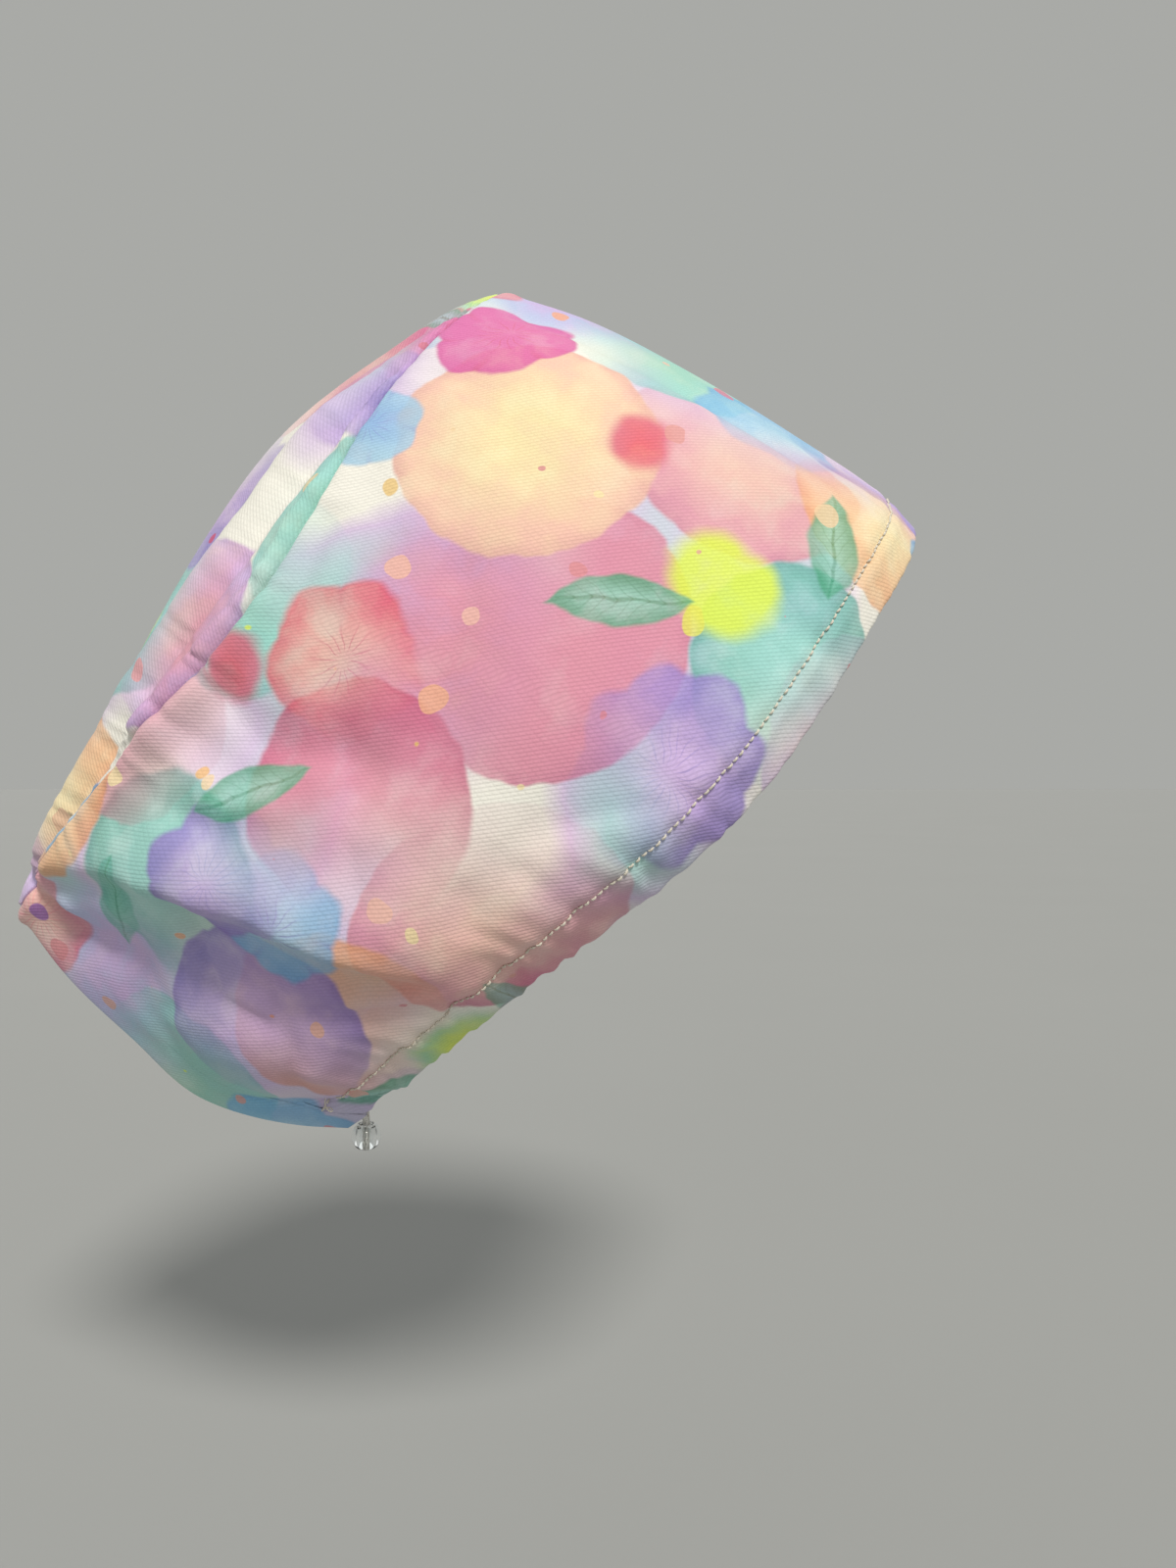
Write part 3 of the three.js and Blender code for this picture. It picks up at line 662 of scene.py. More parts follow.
@dataclass
class FlatCloth:
    """The band's half laid flat, so that print and weave keep their size on the cap.

    A net of the smooth band is relaxed in the plane until its threads have the length that they have on the
    cap. The front crease stays a straight line, so that both halves meet there.
    """

    form: CapForm
    columns: int = 25
    rows: int = 9
    passes: int = 2400
    give: float = 0.16

    def __post_init__(self) -> None:
        """Relaxes the net."""
        self.across = np.linspace(0, 1, self.columns)
        self.levels = np.linspace(0, 1, self.rows)
        half, up = np.meshgrid(self.across, self.levels, indexing="ij")
        net = self.form.smooth_half(half.ravel(), up.ravel()).reshape(self.columns, self.rows, 3)
        flat = np.stack([half * self.form.half_round, (up - STITCH_UP) * self.form.wall_rise], -1)
        whole, first, last = slice(None), slice(None, -1), slice(1, None)
        threads = (
            ((first, whole), (last, whole)), ((whole, first), (whole, last)),
            ((first, first), (last, last)), ((first, last), (last, first)),
        )
        lengths = [np.linalg.norm(net[b] - net[a], axis=-1, keepdims=True) for a, b in threads]
        for _ in range(self.passes):
            push = np.zeros_like(flat)
            for (a, b), length in zip(threads, lengths):
                gap = flat[b] - flat[a]
                now = np.linalg.norm(gap, axis=-1, keepdims=True)
                pull = gap * (now - length) / now
                push[a] += pull
                push[b] -= pull
            flat += push * self.give
            flat[0, :, 0] = 0
        flat[..., 1] -= np.interp(STITCH_UP, self.levels, flat[0, :, 1])
        self.flat = flat

    def at(self, round_: Array, up: Array) -> Array:
        """Where places of the band lie on the flat cloth.

        Args:
            round_: places round the cap.
            up: places up the band.

        Returns:
            Metres along the cloth, negative on the wearer's right, and metres up from the stitches.
        """
        half = np.abs(round_).ravel()
        table = through(self.across, self.flat.reshape(self.columns, -1), half)
        table = table.reshape(len(half), self.rows, 2).transpose(1, 0, 2)
        found = through(self.levels, table, up.ravel(), own=True)
        found[:, 0] *= np.where(round_.ravel() < 0, -1, 1)
        return found.reshape(round_.shape + (2,))


# Meshes


@dataclass
class Skin:
    """A grid of points skinned with quads. It is closed across its rings, and along them where asked.

    cloth holds each point's place on the flat cloth, and reverse is 1 on the cloth's wrong side. Both may
    have one more ring than points, which the last stretch of a closed skin then uses.
    """

    points: Array
    cloth: Array
    reverse: Array
    closed: bool = False

    def mesh(self, name: str) -> bpy.types.Mesh:
        """Builds the mesh, with its faces turned out and smooth.

        Args:
            name: the mesh's name.

        Returns:
            The mesh.
        """
        rings, size = self.points.shape[:2]
        spans = rings if self.closed else rings - 1
        i, j = np.meshgrid(np.arange(spans), np.arange(size), indexing="ij")
        corners = [(i, j), (i + 1, j), (i + 1, (j + 1) % size), (i, (j + 1) % size)]
        quads = np.stack([(a % rings) * size + b for a, b in corners], -1).reshape(-1, 4)
        sources = np.stack([a * size + b for a, b in corners], -1).reshape(-1, 4)
        if not self.closed:
            k = np.arange(size // 2 - 1)
            cap = np.stack([k, k + 1, size - 2 - k, size - 1 - k], -1)
            far = cap[:, ::-1] + (rings - 1) * size
            quads = np.concatenate([quads, cap, far])
            sources = np.concatenate([sources, cap, far])
        points = self.points.reshape(-1, 3)
        a, b, c, d = (points[quads[:, n]] for n in range(4))
        volume = (a * np.cross(b, c)).sum() + (a * np.cross(c, d)).sum()
        if volume < 0:
            quads, sources = quads[:, ::-1], sources[:, ::-1]
        return build_mesh(name, points, quads, self.cloth.reshape(-1, 2)[sources.ravel()],
                          self.reverse.reshape(-1)[sources.ravel()])


def build_mesh(name: str, points: Array, quads: Array, cloth: Array, reverse: Array) -> bpy.types.Mesh:
    """A smooth mesh from arrays.

    Args:
        name: the mesh's name.
        points: its vertices.
        quads: four vertices for each face.
        cloth: the place on the flat cloth of each face corner.
        reverse: for each face corner, 1 on the cloth's wrong side.

    Returns:
        The mesh, with the attributes "cloth" and "reverse".
    """
    mesh = bpy.data.meshes.new(name)
    mesh.vertices.add(len(points))
    mesh.vertices.foreach_set("co", points.astype(np.float32).ravel())
    mesh.loops.add(quads.size)
    mesh.loops.foreach_set("vertex_index", quads.astype(np.int32).ravel())
    mesh.polygons.add(len(quads))
    mesh.polygons.foreach_set("loop_start", np.arange(0, quads.size, 4, dtype=np.int32))
    mesh.polygons.foreach_set("use_smooth", np.ones(len(quads), bool))
    flat = mesh.attributes.new("cloth", "FLOAT_VECTOR", "CORNER")
    flat.data.foreach_set("vector", np.pad(cloth, ((0, 0), (0, 1))).astype(np.float32).ravel())
    wrong = mesh.attributes.new("reverse", "FLOAT", "CORNER")
    wrong.data.foreach_set("value", reverse.astype(np.float32))
    mesh.update(calc_edges=True)
    mesh.validate()
    return mesh


NEARLY_UP = (0.02, 0.01, 1.0)  # no part of a tube runs this way


def tube_rings(line: Array, radii: Array, sides: int) -> Array:
    """Rings of a tube, square to its middle line.

    Args:
        line: points along the middle.
        radii: the radius at each point.
        sides: how many points a ring has.

    Returns:
        A grid of points, a row for each ring.
    """
    along = np.gradient(line, axis=0)
    along /= np.linalg.norm(along, axis=1, keepdims=True)
    side = np.cross(along, NEARLY_UP)
    side /= np.linalg.norm(side, axis=1, keepdims=True)
    up = np.cross(side, along)
    turn = FULL_TURN * (np.arange(sides) + 0.5) / sides
    spokes = side[:, None] * np.cos(turn)[None, :, None] + up[:, None] * np.sin(turn)[None, :, None]
    return line[:, None] + spokes * radii[:, None, None]


def add_object(name: str, mesh: bpy.types.Mesh) -> bpy.types.Object:
    """Links a mesh to the scene as an object at the origin.

    Args:
        name: the object's name.
        mesh: its mesh.

    Returns:
        The object.
    """
    made = bpy.data.objects.new(name, mesh)
    bpy.context.scene.collection.objects.link(made)
    return made


def surface_area(mesh: bpy.types.Mesh) -> float:
    """The area of all of a mesh's faces.

    Args:
        mesh: the mesh.

    Returns:
        Square metres.
    """
    areas = np.zeros(len(mesh.polygons))
    mesh.polygons.foreach_get("area", areas)
    return float(areas.sum())


# Shader maths


class Socket:
    """A value on its way through a material. Python's operators add Math nodes to it."""

    def __init__(self, shader: "Shader", output: bpy.types.NodeSocket) -> None:
        """Wraps a node's output."""
        self.shader = shader
        self.output = output

    def maths(self, operation: str, *values: "Number") -> "Socket":
        """A Math node on these values."""
        return self.shader.node("ShaderNodeMath", {"operation": operation}, dict(enumerate(values)))

    def __add__(self, other: "Number") -> "Socket":
        """self + other"""
        return self.maths("ADD", self, other)

    __radd__ = __add__

    def __sub__(self, other: "Number") -> "Socket":
        """self - other"""
        return self.maths("SUBTRACT", self, other)

    def __rsub__(self, other: "Number") -> "Socket":
        """other - self"""
        return self.maths("SUBTRACT", other, self)

    def __mul__(self, other: "Number") -> "Socket":
        """self * other"""
        return self.maths("MULTIPLY", self, other)

    __rmul__ = __mul__

    def __truediv__(self, other: "Number") -> "Socket":
        """self / other"""
        return self.maths("DIVIDE", self, other)

    def __rtruediv__(self, other: "Number") -> "Socket":
        """other / self"""
        return self.maths("DIVIDE", other, self)

    def __abs__(self) -> "Socket":
        """abs(self)"""
        return self.maths("ABSOLUTE", self)

    def cos(self) -> "Socket":
        """The cosine."""
        return self.maths("COSINE", self)

    def floor(self) -> "Socket":
        """The next lower whole number."""
        return self.maths("FLOOR", self)

    def ease(self, low: float, high: float, bottom: float = 0.0, top: float = 1.0) -> "Socket":
        """A smooth step from bottom at low to top at high.

        Args:
            low: where the step starts.
            high: where it ends, which may be below low.
            bottom: the value before it.
            top: the value after it.

        Returns:
            The eased value.
        """
        return self.shader.node(
            "ShaderNodeMapRange", {"interpolation_type": "SMOOTHSTEP"},
            {"Value": self, "From Min": low, "From Max": high, "To Min": bottom, "To Max": top},
        )

    def part(self, name: str) -> "Socket":
        """Another output of the same node."""
        return Socket(self.shader, self.output.node.outputs[name])


Number = Union[Socket, float]
Tint = Union[Socket, Colour]
Place = Union[Socket, tuple[float, float, float]]


class Shader:
    """A material's node tree."""

    def __init__(self, name: str) -> None:
        """Starts a material that has only a Principled shader.

        Args:
            name: the material's name.
        """
        self.material = bpy.data.materials.new(name)
        self.material.use_nodes = True
        self.tree = self.material.node_tree
        self.principled = self.tree.nodes["Principled BSDF"]

    def node(self, kind: str, settings: Optional[dict] = None, values: Optional[dict] = None,
             output: Union[int, str] = 0) -> Socket:
        """Adds a node.

        Args:
            kind: the node's type.
            settings: what is set first, such as an operation. "stops" are a ramp's (place, colour) pairs.
            values: the value or link of each socket, by its name or number.
            output: the output that is wanted.

        Returns:
            That output.
        """
        made = self.tree.nodes.new(kind)
        for name, value in (settings or {}).items():
            if name == "stops":
                self.set_stops(made.color_ramp, value)
            else:
                setattr(made, name, value)
        for name, value in (values or {}).items():
            if isinstance(value, Socket):
                self.tree.links.new(value.output, made.inputs[name])
            else:
                made.inputs[name].default_value = value
        return Socket(self, made.outputs[output])

    @staticmethod
    def set_stops(ramp: bpy.types.ColorRamp, stops: tuple[tuple[float, Colour], ...]) -> None:
        """Gives a ramp its stops.

        Args:
            ramp: the ramp.
            stops: a place and a colour for each stop.
        """
        for place, colour in stops[2:]:
            ramp.elements.new(place)
        for element, (place, colour) in zip(ramp.elements, stops):
            element.position = place
            element.color = colour

    def mix(self, share: Number, first: Tint, second: Tint, blend: str = "MIX") -> Socket:
        """Mixes two colours."""
        return self.node("ShaderNodeMix", {"data_type": "RGBA", "blend_type": blend, "clamp_factor": True},
                         {0: share, 6: first, 7: second}, output=2)

    def vector(self, operation: str, *values: Place, output: Union[int, str] = 0) -> Socket:
        """A Vector Math node on these values."""
        return self.node("ShaderNodeVectorMath", {"operation": operation}, dict(enumerate(values)), output)

    def noise(self, at: Socket, size: float, detail: float = 2.0, output: Union[int, str] = "Fac") -> Socket:
        """Smooth noise whose lumps are about size metres wide."""
        return self.node("ShaderNodeTexNoise", {"noise_dimensions": "3D"},
                         {"Vector": at, "Scale": 1 / size, "Detail": detail}, output)

    def attribute(self, name: str, output: str = "Vector") -> Socket:
        """A value that the mesh holds."""
        return self.node("ShaderNodeAttribute", {"attribute_name": name}, output=output)

    def finish(self, **values: Union[Number, Tint]) -> bpy.types.Material:
        """Sets the Principled shader's sockets.

        Args:
            **values: the value or link of each socket, with _ for the spaces of its name.

        Returns:
            The material.
        """
        for name, value in values.items():
            target = self.principled.inputs[name.replace("_", " ")]
            if isinstance(value, Socket):
                self.tree.links.new(value.output, target)
            else:
                target.default_value = value
        return self.material


def tint(code: str) -> Colour:
    """The linear colour of an sRGB hex code.

    Args:
        code: six hex digits.

    Returns:
        Red, green, blue and alpha.
    """
    parts = [int(code[i:i + 2], 16) / 255 for i in (0, 2, 4)]
    linear = [p / 12.92 if p <= 0.04045 else ((p + 0.055) / 1.055) ** 2.4 for p in parts]
    return (linear[0], linear[1], linear[2], 1.0)


# Print


class Dye(Enum):
    """The print's inks."""

    IVORY = "F3F1E8"
    DUSTY_PINK = "DC8FA6"
    ROSE = "D46E8D"
    MAGENTA = "DC62A8"
    PEACH = "F2C2B2"
    APRICOT = "F2AE7C"
    CREAM = "F4E3AE"
    SKY = "74B2E0"
    PALE_SKY = "A2D2EC"
    AQUA = "8FD6D2"
    TEAL = "5DB0A2"
    MINT = "8CD0BC"
    LILAC = "CDB2E4"
    VIOLET = "9380CC"
    LIME = "DDF04E"
    CORAL = "E4506B"
    DEEP_ROSE = "CF3F66"
    ROYAL = "4A5FC4"
    LEAF = "3A9A74"

    def colour(self) -> Colour:
        """Its linear colour."""
        return tint(self.value)


class Shape(Enum):
    """The print's kinds of figure."""

    PEBBLE = "pebble"
    BLOSSOM = "blossom"
    LEAF = "leaf"


@dataclass(frozen=True)
class Figure:
    """One figure of the print.

    at is its middle on the repeat and size its half length, both in metres. heart and edge are its inks
    there, and veins that of its fine lines. slim is its width as a share of its length, turn its angle in
    degrees, lobes the count of a blossom's petals, soft the width of its wet edge as a share of its size,
    strength how well it covers and thin the direction, in degrees from its length, in which it fades away.
    """

    shape: Shape
    at: tuple[float, float]
    size: float
    heart: Dye
    edge: Dye
    slim: float = 1.0
    turn: float = 0.0
    lobes: int = 0
    soft: float = 0.05
    strength: float = 0.92
    veins: Optional[Dye] = None
    thin: Optional[float] = None


P, B, L = Shape.PEBBLE, Shape.BLOSSOM, Shape.LEAF
FIGURES = (
    # wide washes
    Figure(P, (-0.150, 0.090), 0.050, Dye.DUSTY_PINK, Dye.LILAC, 0.86, 30, soft=0.5),
    Figure(P, (0.010, 0.125), 0.050, Dye.LILAC, Dye.PALE_SKY, 0.8, -20, soft=0.6),
    # large pebbles
    Figure(P, (-0.168, 0.152), 0.038, Dye.MINT, Dye.AQUA, 0.9, 20, soft=0.06, strength=0.85, thin=-70),
    Figure(P, (-0.262, 0.116), 0.039, Dye.AQUA, Dye.TEAL, 0.88, 40, soft=0.08, strength=0.82, thin=200),
    Figure(P, (-0.202, 0.084), 0.037, Dye.DUSTY_PINK, Dye.ROSE, 0.9, 70, soft=0.06, strength=0.9, thin=150),
    Figure(P, (0.006, 0.014), 0.036, Dye.LILAC, Dye.VIOLET, 0.9, 10, soft=0.06, strength=0.8, thin=60),
    Figure(P, (-0.056, 0.046), 0.039, Dye.PEACH, Dye.DUSTY_PINK, 0.92, 80, strength=0.88, thin=-60),
    Figure(P, (-0.135, 0.064), 0.043, Dye.DUSTY_PINK, Dye.DUSTY_PINK, 0.94, 20, soft=0.04, strength=0.95,
           thin=80),
    Figure(P, (-0.232, 0.160), 0.036, Dye.DUSTY_PINK, Dye.ROSE, 0.9, -30, strength=0.9, thin=-60),
    Figure(P, (-0.212, 0.030), 0.041, Dye.PEACH, Dye.DUSTY_PINK, 0.88, -35, soft=0.04, strength=0.9, thin=60),
    Figure(P, (-0.272, 0.052), 0.039, Dye.PEACH, Dye.APRICOT, 0.94, 15, strength=0.86, thin=-100),
    Figure(P, (-0.012, 0.088), 0.036, Dye.MINT, Dye.AQUA, 0.94, 0, strength=0.85, thin=110),
    Figure(P, (-0.108, 0.000), 0.034, Dye.AQUA, Dye.TEAL, 0.9, 25, soft=0.06, strength=0.85, thin=-150),
    Figure(P, (-0.040, 0.000), 0.034, Dye.CREAM, Dye.APRICOT, 0.94, 60, strength=0.85, thin=-20),
    Figure(P, (-0.085, 0.104), 0.043, Dye.CREAM, Dye.PEACH, 0.94, 25, soft=0.04, strength=0.96),
    Figure(P, (0.036, 0.072), 0.038, Dye.LILAC, Dye.VIOLET, 0.9, 50, strength=0.85, thin=160),
    Figure(P, (0.052, 0.180), 0.036, Dye.CREAM, Dye.APRICOT, 0.9, 10, soft=0.06, strength=0.85),
    Figure(P, (-0.110, 0.186), 0.034, Dye.DUSTY_PINK, Dye.LILAC, 0.88, -15, strength=0.9, thin=90),
    Figure(P, (-0.030, 0.168), 0.036, Dye.PALE_SKY, Dye.SKY, 0.92, 40, strength=0.85, thin=-130),
    # blossoms
    Figure(B, (-0.022, 0.046), 0.029, Dye.PALE_SKY, Dye.SKY, 0.95, 12, 7, 0.10, 0.88, Dye.SKY, thin=-150),
    Figure(B, (-0.150, 0.014), 0.030, Dye.LILAC, Dye.VIOLET, 0.92, 40, 8, 0.10, 0.86, Dye.VIOLET, thin=100),
    Figure(B, (-0.044, 0.132), 0.026, Dye.MAGENTA, Dye.MAGENTA, 0.86, -28, 6, 0.08, 0.9, Dye.DEEP_ROSE),
    Figure(B, (-0.172, 0.112), 0.027, Dye.PEACH, Dye.CORAL, 0.92, 70, 5, 0.12, 0.85, Dye.DEEP_ROSE, thin=170),
    Figure(B, (-0.246, 0.082), 0.023, Dye.PALE_SKY, Dye.SKY, 0.95, 20, 6, 0.12, 0.82, Dye.ROYAL, thin=40),
    Figure(B, (0.080, 0.104), 0.025, Dye.LILAC, Dye.VIOLET, 0.9, -50, 7, 0.10, 0.86, Dye.VIOLET, thin=20),
    Figure(B, (0.000, 0.160), 0.023, Dye.PEACH, Dye.ROSE, 0.94, 5, 6, 0.12, 0.86, Dye.CORAL),
    Figure(B, (-0.100, 0.150), 0.019, Dye.SKY, Dye.PALE_SKY, 0.9, 33, 5, 0.12, 0.8, Dye.ROYAL),
    Figure(B, (0.092, 0.205), 0.026, Dye.MAGENTA, Dye.ROSE, 0.9, 80, 7, 0.10, 0.86, Dye.DEEP_ROSE, thin=-60),
    Figure(B, (-0.206, 0.190), 0.026, Dye.VIOLET, Dye.LILAC, 0.9, 62, 6, 0.12, 0.85, Dye.VIOLET, thin=10),
    # bright accents
    Figure(P, (-0.098, 0.030), 0.021, Dye.LIME, Dye.LIME, 0.8, 70, soft=0.35, strength=0.9),
    Figure(P, (0.058, 0.012), 0.024, Dye.LIME, Dye.MINT, 0.78, -20, soft=0.4, strength=0.9),
    Figure(P, (-0.192, 0.140), 0.014, Dye.CORAL, Dye.ROSE, 0.86, 15, soft=0.45, strength=0.85),
    Figure(P, (-0.070, 0.074), 0.013, Dye.CORAL, Dye.ROSE, 0.84, 20, soft=0.45, strength=0.85),
    # leaves
    Figure(L, (-0.066, 0.010), 0.021, Dye.MINT, Dye.LEAF, 0.42, 24, soft=0.2, strength=0.8, veins=Dye.LEAF),
    Figure(L, (-0.118, 0.052), 0.022, Dye.MINT, Dye.LEAF, 0.38, 118, soft=0.2, strength=0.85, veins=Dye.LEAF),
    Figure(L, (0.024, 0.026), 0.022, Dye.MINT, Dye.LEAF, 0.36, -38, soft=0.2, strength=0.8, veins=Dye.LEAF),
    Figure(L, (-0.220, 0.112), 0.021, Dye.MINT, Dye.LEAF, 0.4, 148, soft=0.2, strength=0.8, veins=Dye.LEAF),
    Figure(L, (-0.240, 0.008), 0.018, Dye.AQUA, Dye.LEAF, 0.4, 60, soft=0.2, strength=0.66, veins=Dye.LEAF),
    Figure(L, (0.040, 0.132), 0.021, Dye.MINT, Dye.TEAL, 0.38, 15, soft=0.2, strength=0.7, veins=Dye.LEAF),
)


@dataclass(frozen=True)
class PrintedTwill:
    """Cotton twill with a watercolour print of pebbles, blossoms and leaves, paler on its wrong side."""

    repeat: tuple[float, float] = (0.325, 0.215)
    rib_pitch: float = 1.15 * MM
    rib_angle: float = 50.0
    rib_length: float = 2.1 * MM
    rib_height: float = 0.06 * MM
    crumple_height: float = 0.5 * MM
    crumple_pitch: float = 9 * MM
    rib_sway: float = 0.8 * MM
    rib_shade: float = 0.92
    yarn_size: float = 0.55 * MM
    float_shift: float = 0.37
    wear_size: float = 0.9 * MM
    wrong_side_fade: float = 0.62
    wet_run: float = 0.9 * MM  # how far an edge shifts where it runs over ink that was laid before
    flow_size: float = 16 * MM
    flow_shift: float = 7 * MM
    bloom_size: float = 13 * MM
    grain_size: float = 2.2 * MM
    cloud_size: float = 70 * MM
    petal_depth: float = 0.15
    vein_count: float = 5.0
    vein_slant: float = 2.4
    sheen: float = 0.1

    def material(self) -> bpy.types.Material:
        """Builds the material.

        Returns:
            The material.
        """
        ink = Shader("printed_twill")
        place = ink.attribute("cloth")
        ribs = self.ribs(ink, place)
        colour = self.print_colour(ink, place)
        worn = ink.noise(place, self.wear_size, 2.0).ease(0.2, 0.8, 0.965, 1.02)
        # painted shade: the grooves between the ribs are darkened in the colour, and the random wear tone is
        # multiplied in with it
        groove_shade_and_wear = ribs.ease(0, 1, self.rib_shade, 1.0) * worn
        shade_and_wear_grey = ink.node("ShaderNodeCombineColor", None, {0: groove_shade_and_wear, 1: groove_shade_and_wear, 2: groove_shade_and_wear})
        colour = ink.mix(1.0, colour, shade_and_wear_grey, "MULTIPLY")
        wrong_side = ink.attribute("reverse", "Fac")
        colour = ink.mix(wrong_side * self.wrong_side_fade, colour, Dye.IVORY.colour())
        crumple = ink.noise(place, self.crumple_pitch, 4.0)
        height = ribs * self.rib_height + crumple * self.crumple_height
        bump = ink.node("ShaderNodeBump", None, {"Height": height, "Distance": 1.0, "Strength": 1.0})
        return ink.finish(Base_Color=colour, Roughness=ribs.ease(0, 1, 0.93, 0.84), Normal=bump,
                          Sheen_Weight=self.sheen, Sheen_Roughness=0.45)

    def ribs(self, ink: Shader, place: Socket) -> Socket:
        """The twill's ribs, broken into floats.

        Args:
            ink: the material.
            place: the place on the cloth.

        Returns:
            1 on a rib and 0 between two.
        """
        angle = math.radians(self.rib_angle)
        across = ink.vector("DOT_PRODUCT", place, (math.sin(angle), math.cos(angle), 0), output="Value")
        along = ink.vector("DOT_PRODUCT", place, (math.cos(angle), -math.sin(angle), 0), output="Value")
        sway = ink.noise(place, 30 * MM, 1.0) * self.rib_sway
        count = (across + sway) / self.rib_pitch
        fuzz = ink.noise(place, self.yarn_size, 2.0)
        crest = ((count * FULL_TURN).cos() + (fuzz - 0.5) * 1.6).ease(-1, 0.5)
        shift = (count + 0.5).floor() * self.float_shift
        float_ = ((along / self.rib_length + shift) * FULL_TURN).cos().ease(-1, -0.2, 0.45, 1.0)
        return crest * float_

    def print_colour(self, ink: Shader, place: Socket) -> Socket:
        """The print, laid figure by figure over an ivory ground.

        Args:
            ink: the material.
            place: the place on the cloth.

        Returns:
            The colour.
        """
        flow = ink.noise(place, self.flow_size, 2.0, output="Color")
        off_middle = ink.vector("SUBTRACT", flow, (0.5, 0.5, 0.5))
        drift = ink.vector("MULTIPLY", off_middle, (self.flow_shift, self.flow_shift, 0))
        here = ink.vector("ADD", place, drift)
        bloom = ink.noise(here, self.bloom_size, 4.0)
        grain = ink.noise(place, self.grain_size, 2.0)
        wash = bloom.ease(0.25, 0.75) * 0.8 + grain * 0.2
        clouds = ink.noise(here, self.cloud_size, 1.0)
        ground = ((0.30, Dye.IVORY), (0.46, Dye.IVORY), (0.56, Dye.LILAC), (0.70, Dye.AQUA))
        stops = tuple((place_, dye.colour()) for place_, dye in ground)
        colour = ink.node("ShaderNodeValToRGB", {"stops": stops}, {"Fac": clouds})
        colour = ink.mix(0.3, colour, Dye.IVORY.colour())
        for figure in FIGURES:
            colour = self.lay(ink, colour, here, wash, figure)
        return self.specks(ink, colour, here)

    def lay(self, ink: Shader, under: Socket, here: Socket, wash: Socket, figure: Figure) -> Socket:
        """Lays one figure over what is printed so far.

        Args:
            ink: the material.
            under: the colour so far.
            here: the place on the cloth.
            wash: how the water carried the ink.
            figure: the figure.

        Returns:
            The new colour.
        """
        half = (self.repeat[0] / 2, self.repeat[1] / 2, 1.0)
        run = ink.vector("MULTIPLY_ADD", under, (self.wet_run, self.wet_run, 0.0), here)
        offset = ink.vector("SUBTRACT", run, (*figure.at, 0.0))
        offset = ink.vector("WRAP", offset, half, tuple(-x for x in half))
        if figure.slim != 1.0:
            offset = ink.node("ShaderNodeVectorRotate", {"rotation_type": "Z_AXIS"},
                              {"Vector": offset, "Angle": math.radians(-figure.turn)})
        scaled = ink.vector("DIVIDE", offset, (figure.size, figure.size * figure.slim, 1.0))
        if figure.shape is Shape.LEAF:
            reach, detail = self.leaf(ink, scaled)
        elif figure.shape is Shape.BLOSSOM:
            reach, detail = self.blossom(ink, scaled, wash, figure.lobes)
        else:
            reach, detail = ink.vector("LENGTH", scaled, output="Value"), None
        tone = reach.ease(0.05, 0.95) * 0.75 + (wash - 0.5) * 0.6
        colour = ink.mix(tone, figure.heart.colour(), figure.edge.colour())
        if figure.soft < 0.2:
            rim = reach.ease(0.84, 0.985) * wash.ease(0.1, 0.7, 0.15, 0.5)
            colour = ink.mix(rim, colour, deeper(figure.edge.colour()))
        if detail is not None:
            colour = ink.mix(detail, colour, figure.veins.colour())
        within = reach.ease(1.0, 1.0 - figure.soft)
        cover = within * wash.ease(0.0, 0.6, figure.strength - 0.14, figure.strength)
        if figure.thin is not None:
            way = math.radians(figure.thin)
            side = ink.vector("DOT_PRODUCT", scaled, (math.cos(way), math.sin(way), 0.0), output="Value")
            cover = cover * side.ease(1.0, -0.25, 0.12, 1.0)
        return ink.mix(cover, under, colour)

    def leaf(self, ink: Shader, scaled: Socket) -> tuple[Socket, Socket]:
        """A pointed leaf with a midrib and slanting side veins.

        Args:
            ink: the material.
            scaled: the place on the figure, where its half length is 1.

        Returns:
            How far out the place lies, 1 at the edge, and how strongly its veins show.
        """
        x = ink.node("ShaderNodeSeparateXYZ", None, {0: scaled})
        y = abs(x.part("Y"))
        reach = y + x * x
        side_veins = ((x * self.vein_count - y * self.vein_slant) * FULL_TURN).cos().ease(0.75, 1.0) * 0.3
        midrib = y.ease(0.10, 0.02) * 0.7
        return reach, (midrib + side_veins) * reach.ease(1.0, 0.7)

    def blossom(self, ink: Shader, scaled: Socket, wash: Socket, lobes: int) -> tuple[Socket, Socket]:
        """A round blossom with notched petals and thin rays from its heart.

        Args:
            ink: the material.
            scaled: the place on the figure, where its half length is 1.
            wash: how the water carried the ink.
            lobes: the count of its petals.

        Returns:
            How far out the place lies, 1 at the edge, and how strongly its fine lines show.
        """
        radius = ink.vector("LENGTH", scaled, output="Value")
        x = ink.node("ShaderNodeSeparateXYZ", None, {0: scaled})
        turn = x.maths("ARCTAN2", x.part("Y"), x)
        petals = abs((turn * (lobes / 2)).cos())
        reach = radius * (1.13 - petals * self.petal_depth)
        rays = (turn * (2 * lobes + 3) + wash * 3.0).cos().ease(0.8, 1.0)
        notch = petals.ease(0.3, 0.0) * radius.ease(0.45, 0.9) * 0.3
        return reach, rays * radius.ease(0.55, 0.12) * radius.ease(0.05, 0.14) * 0.6 + notch

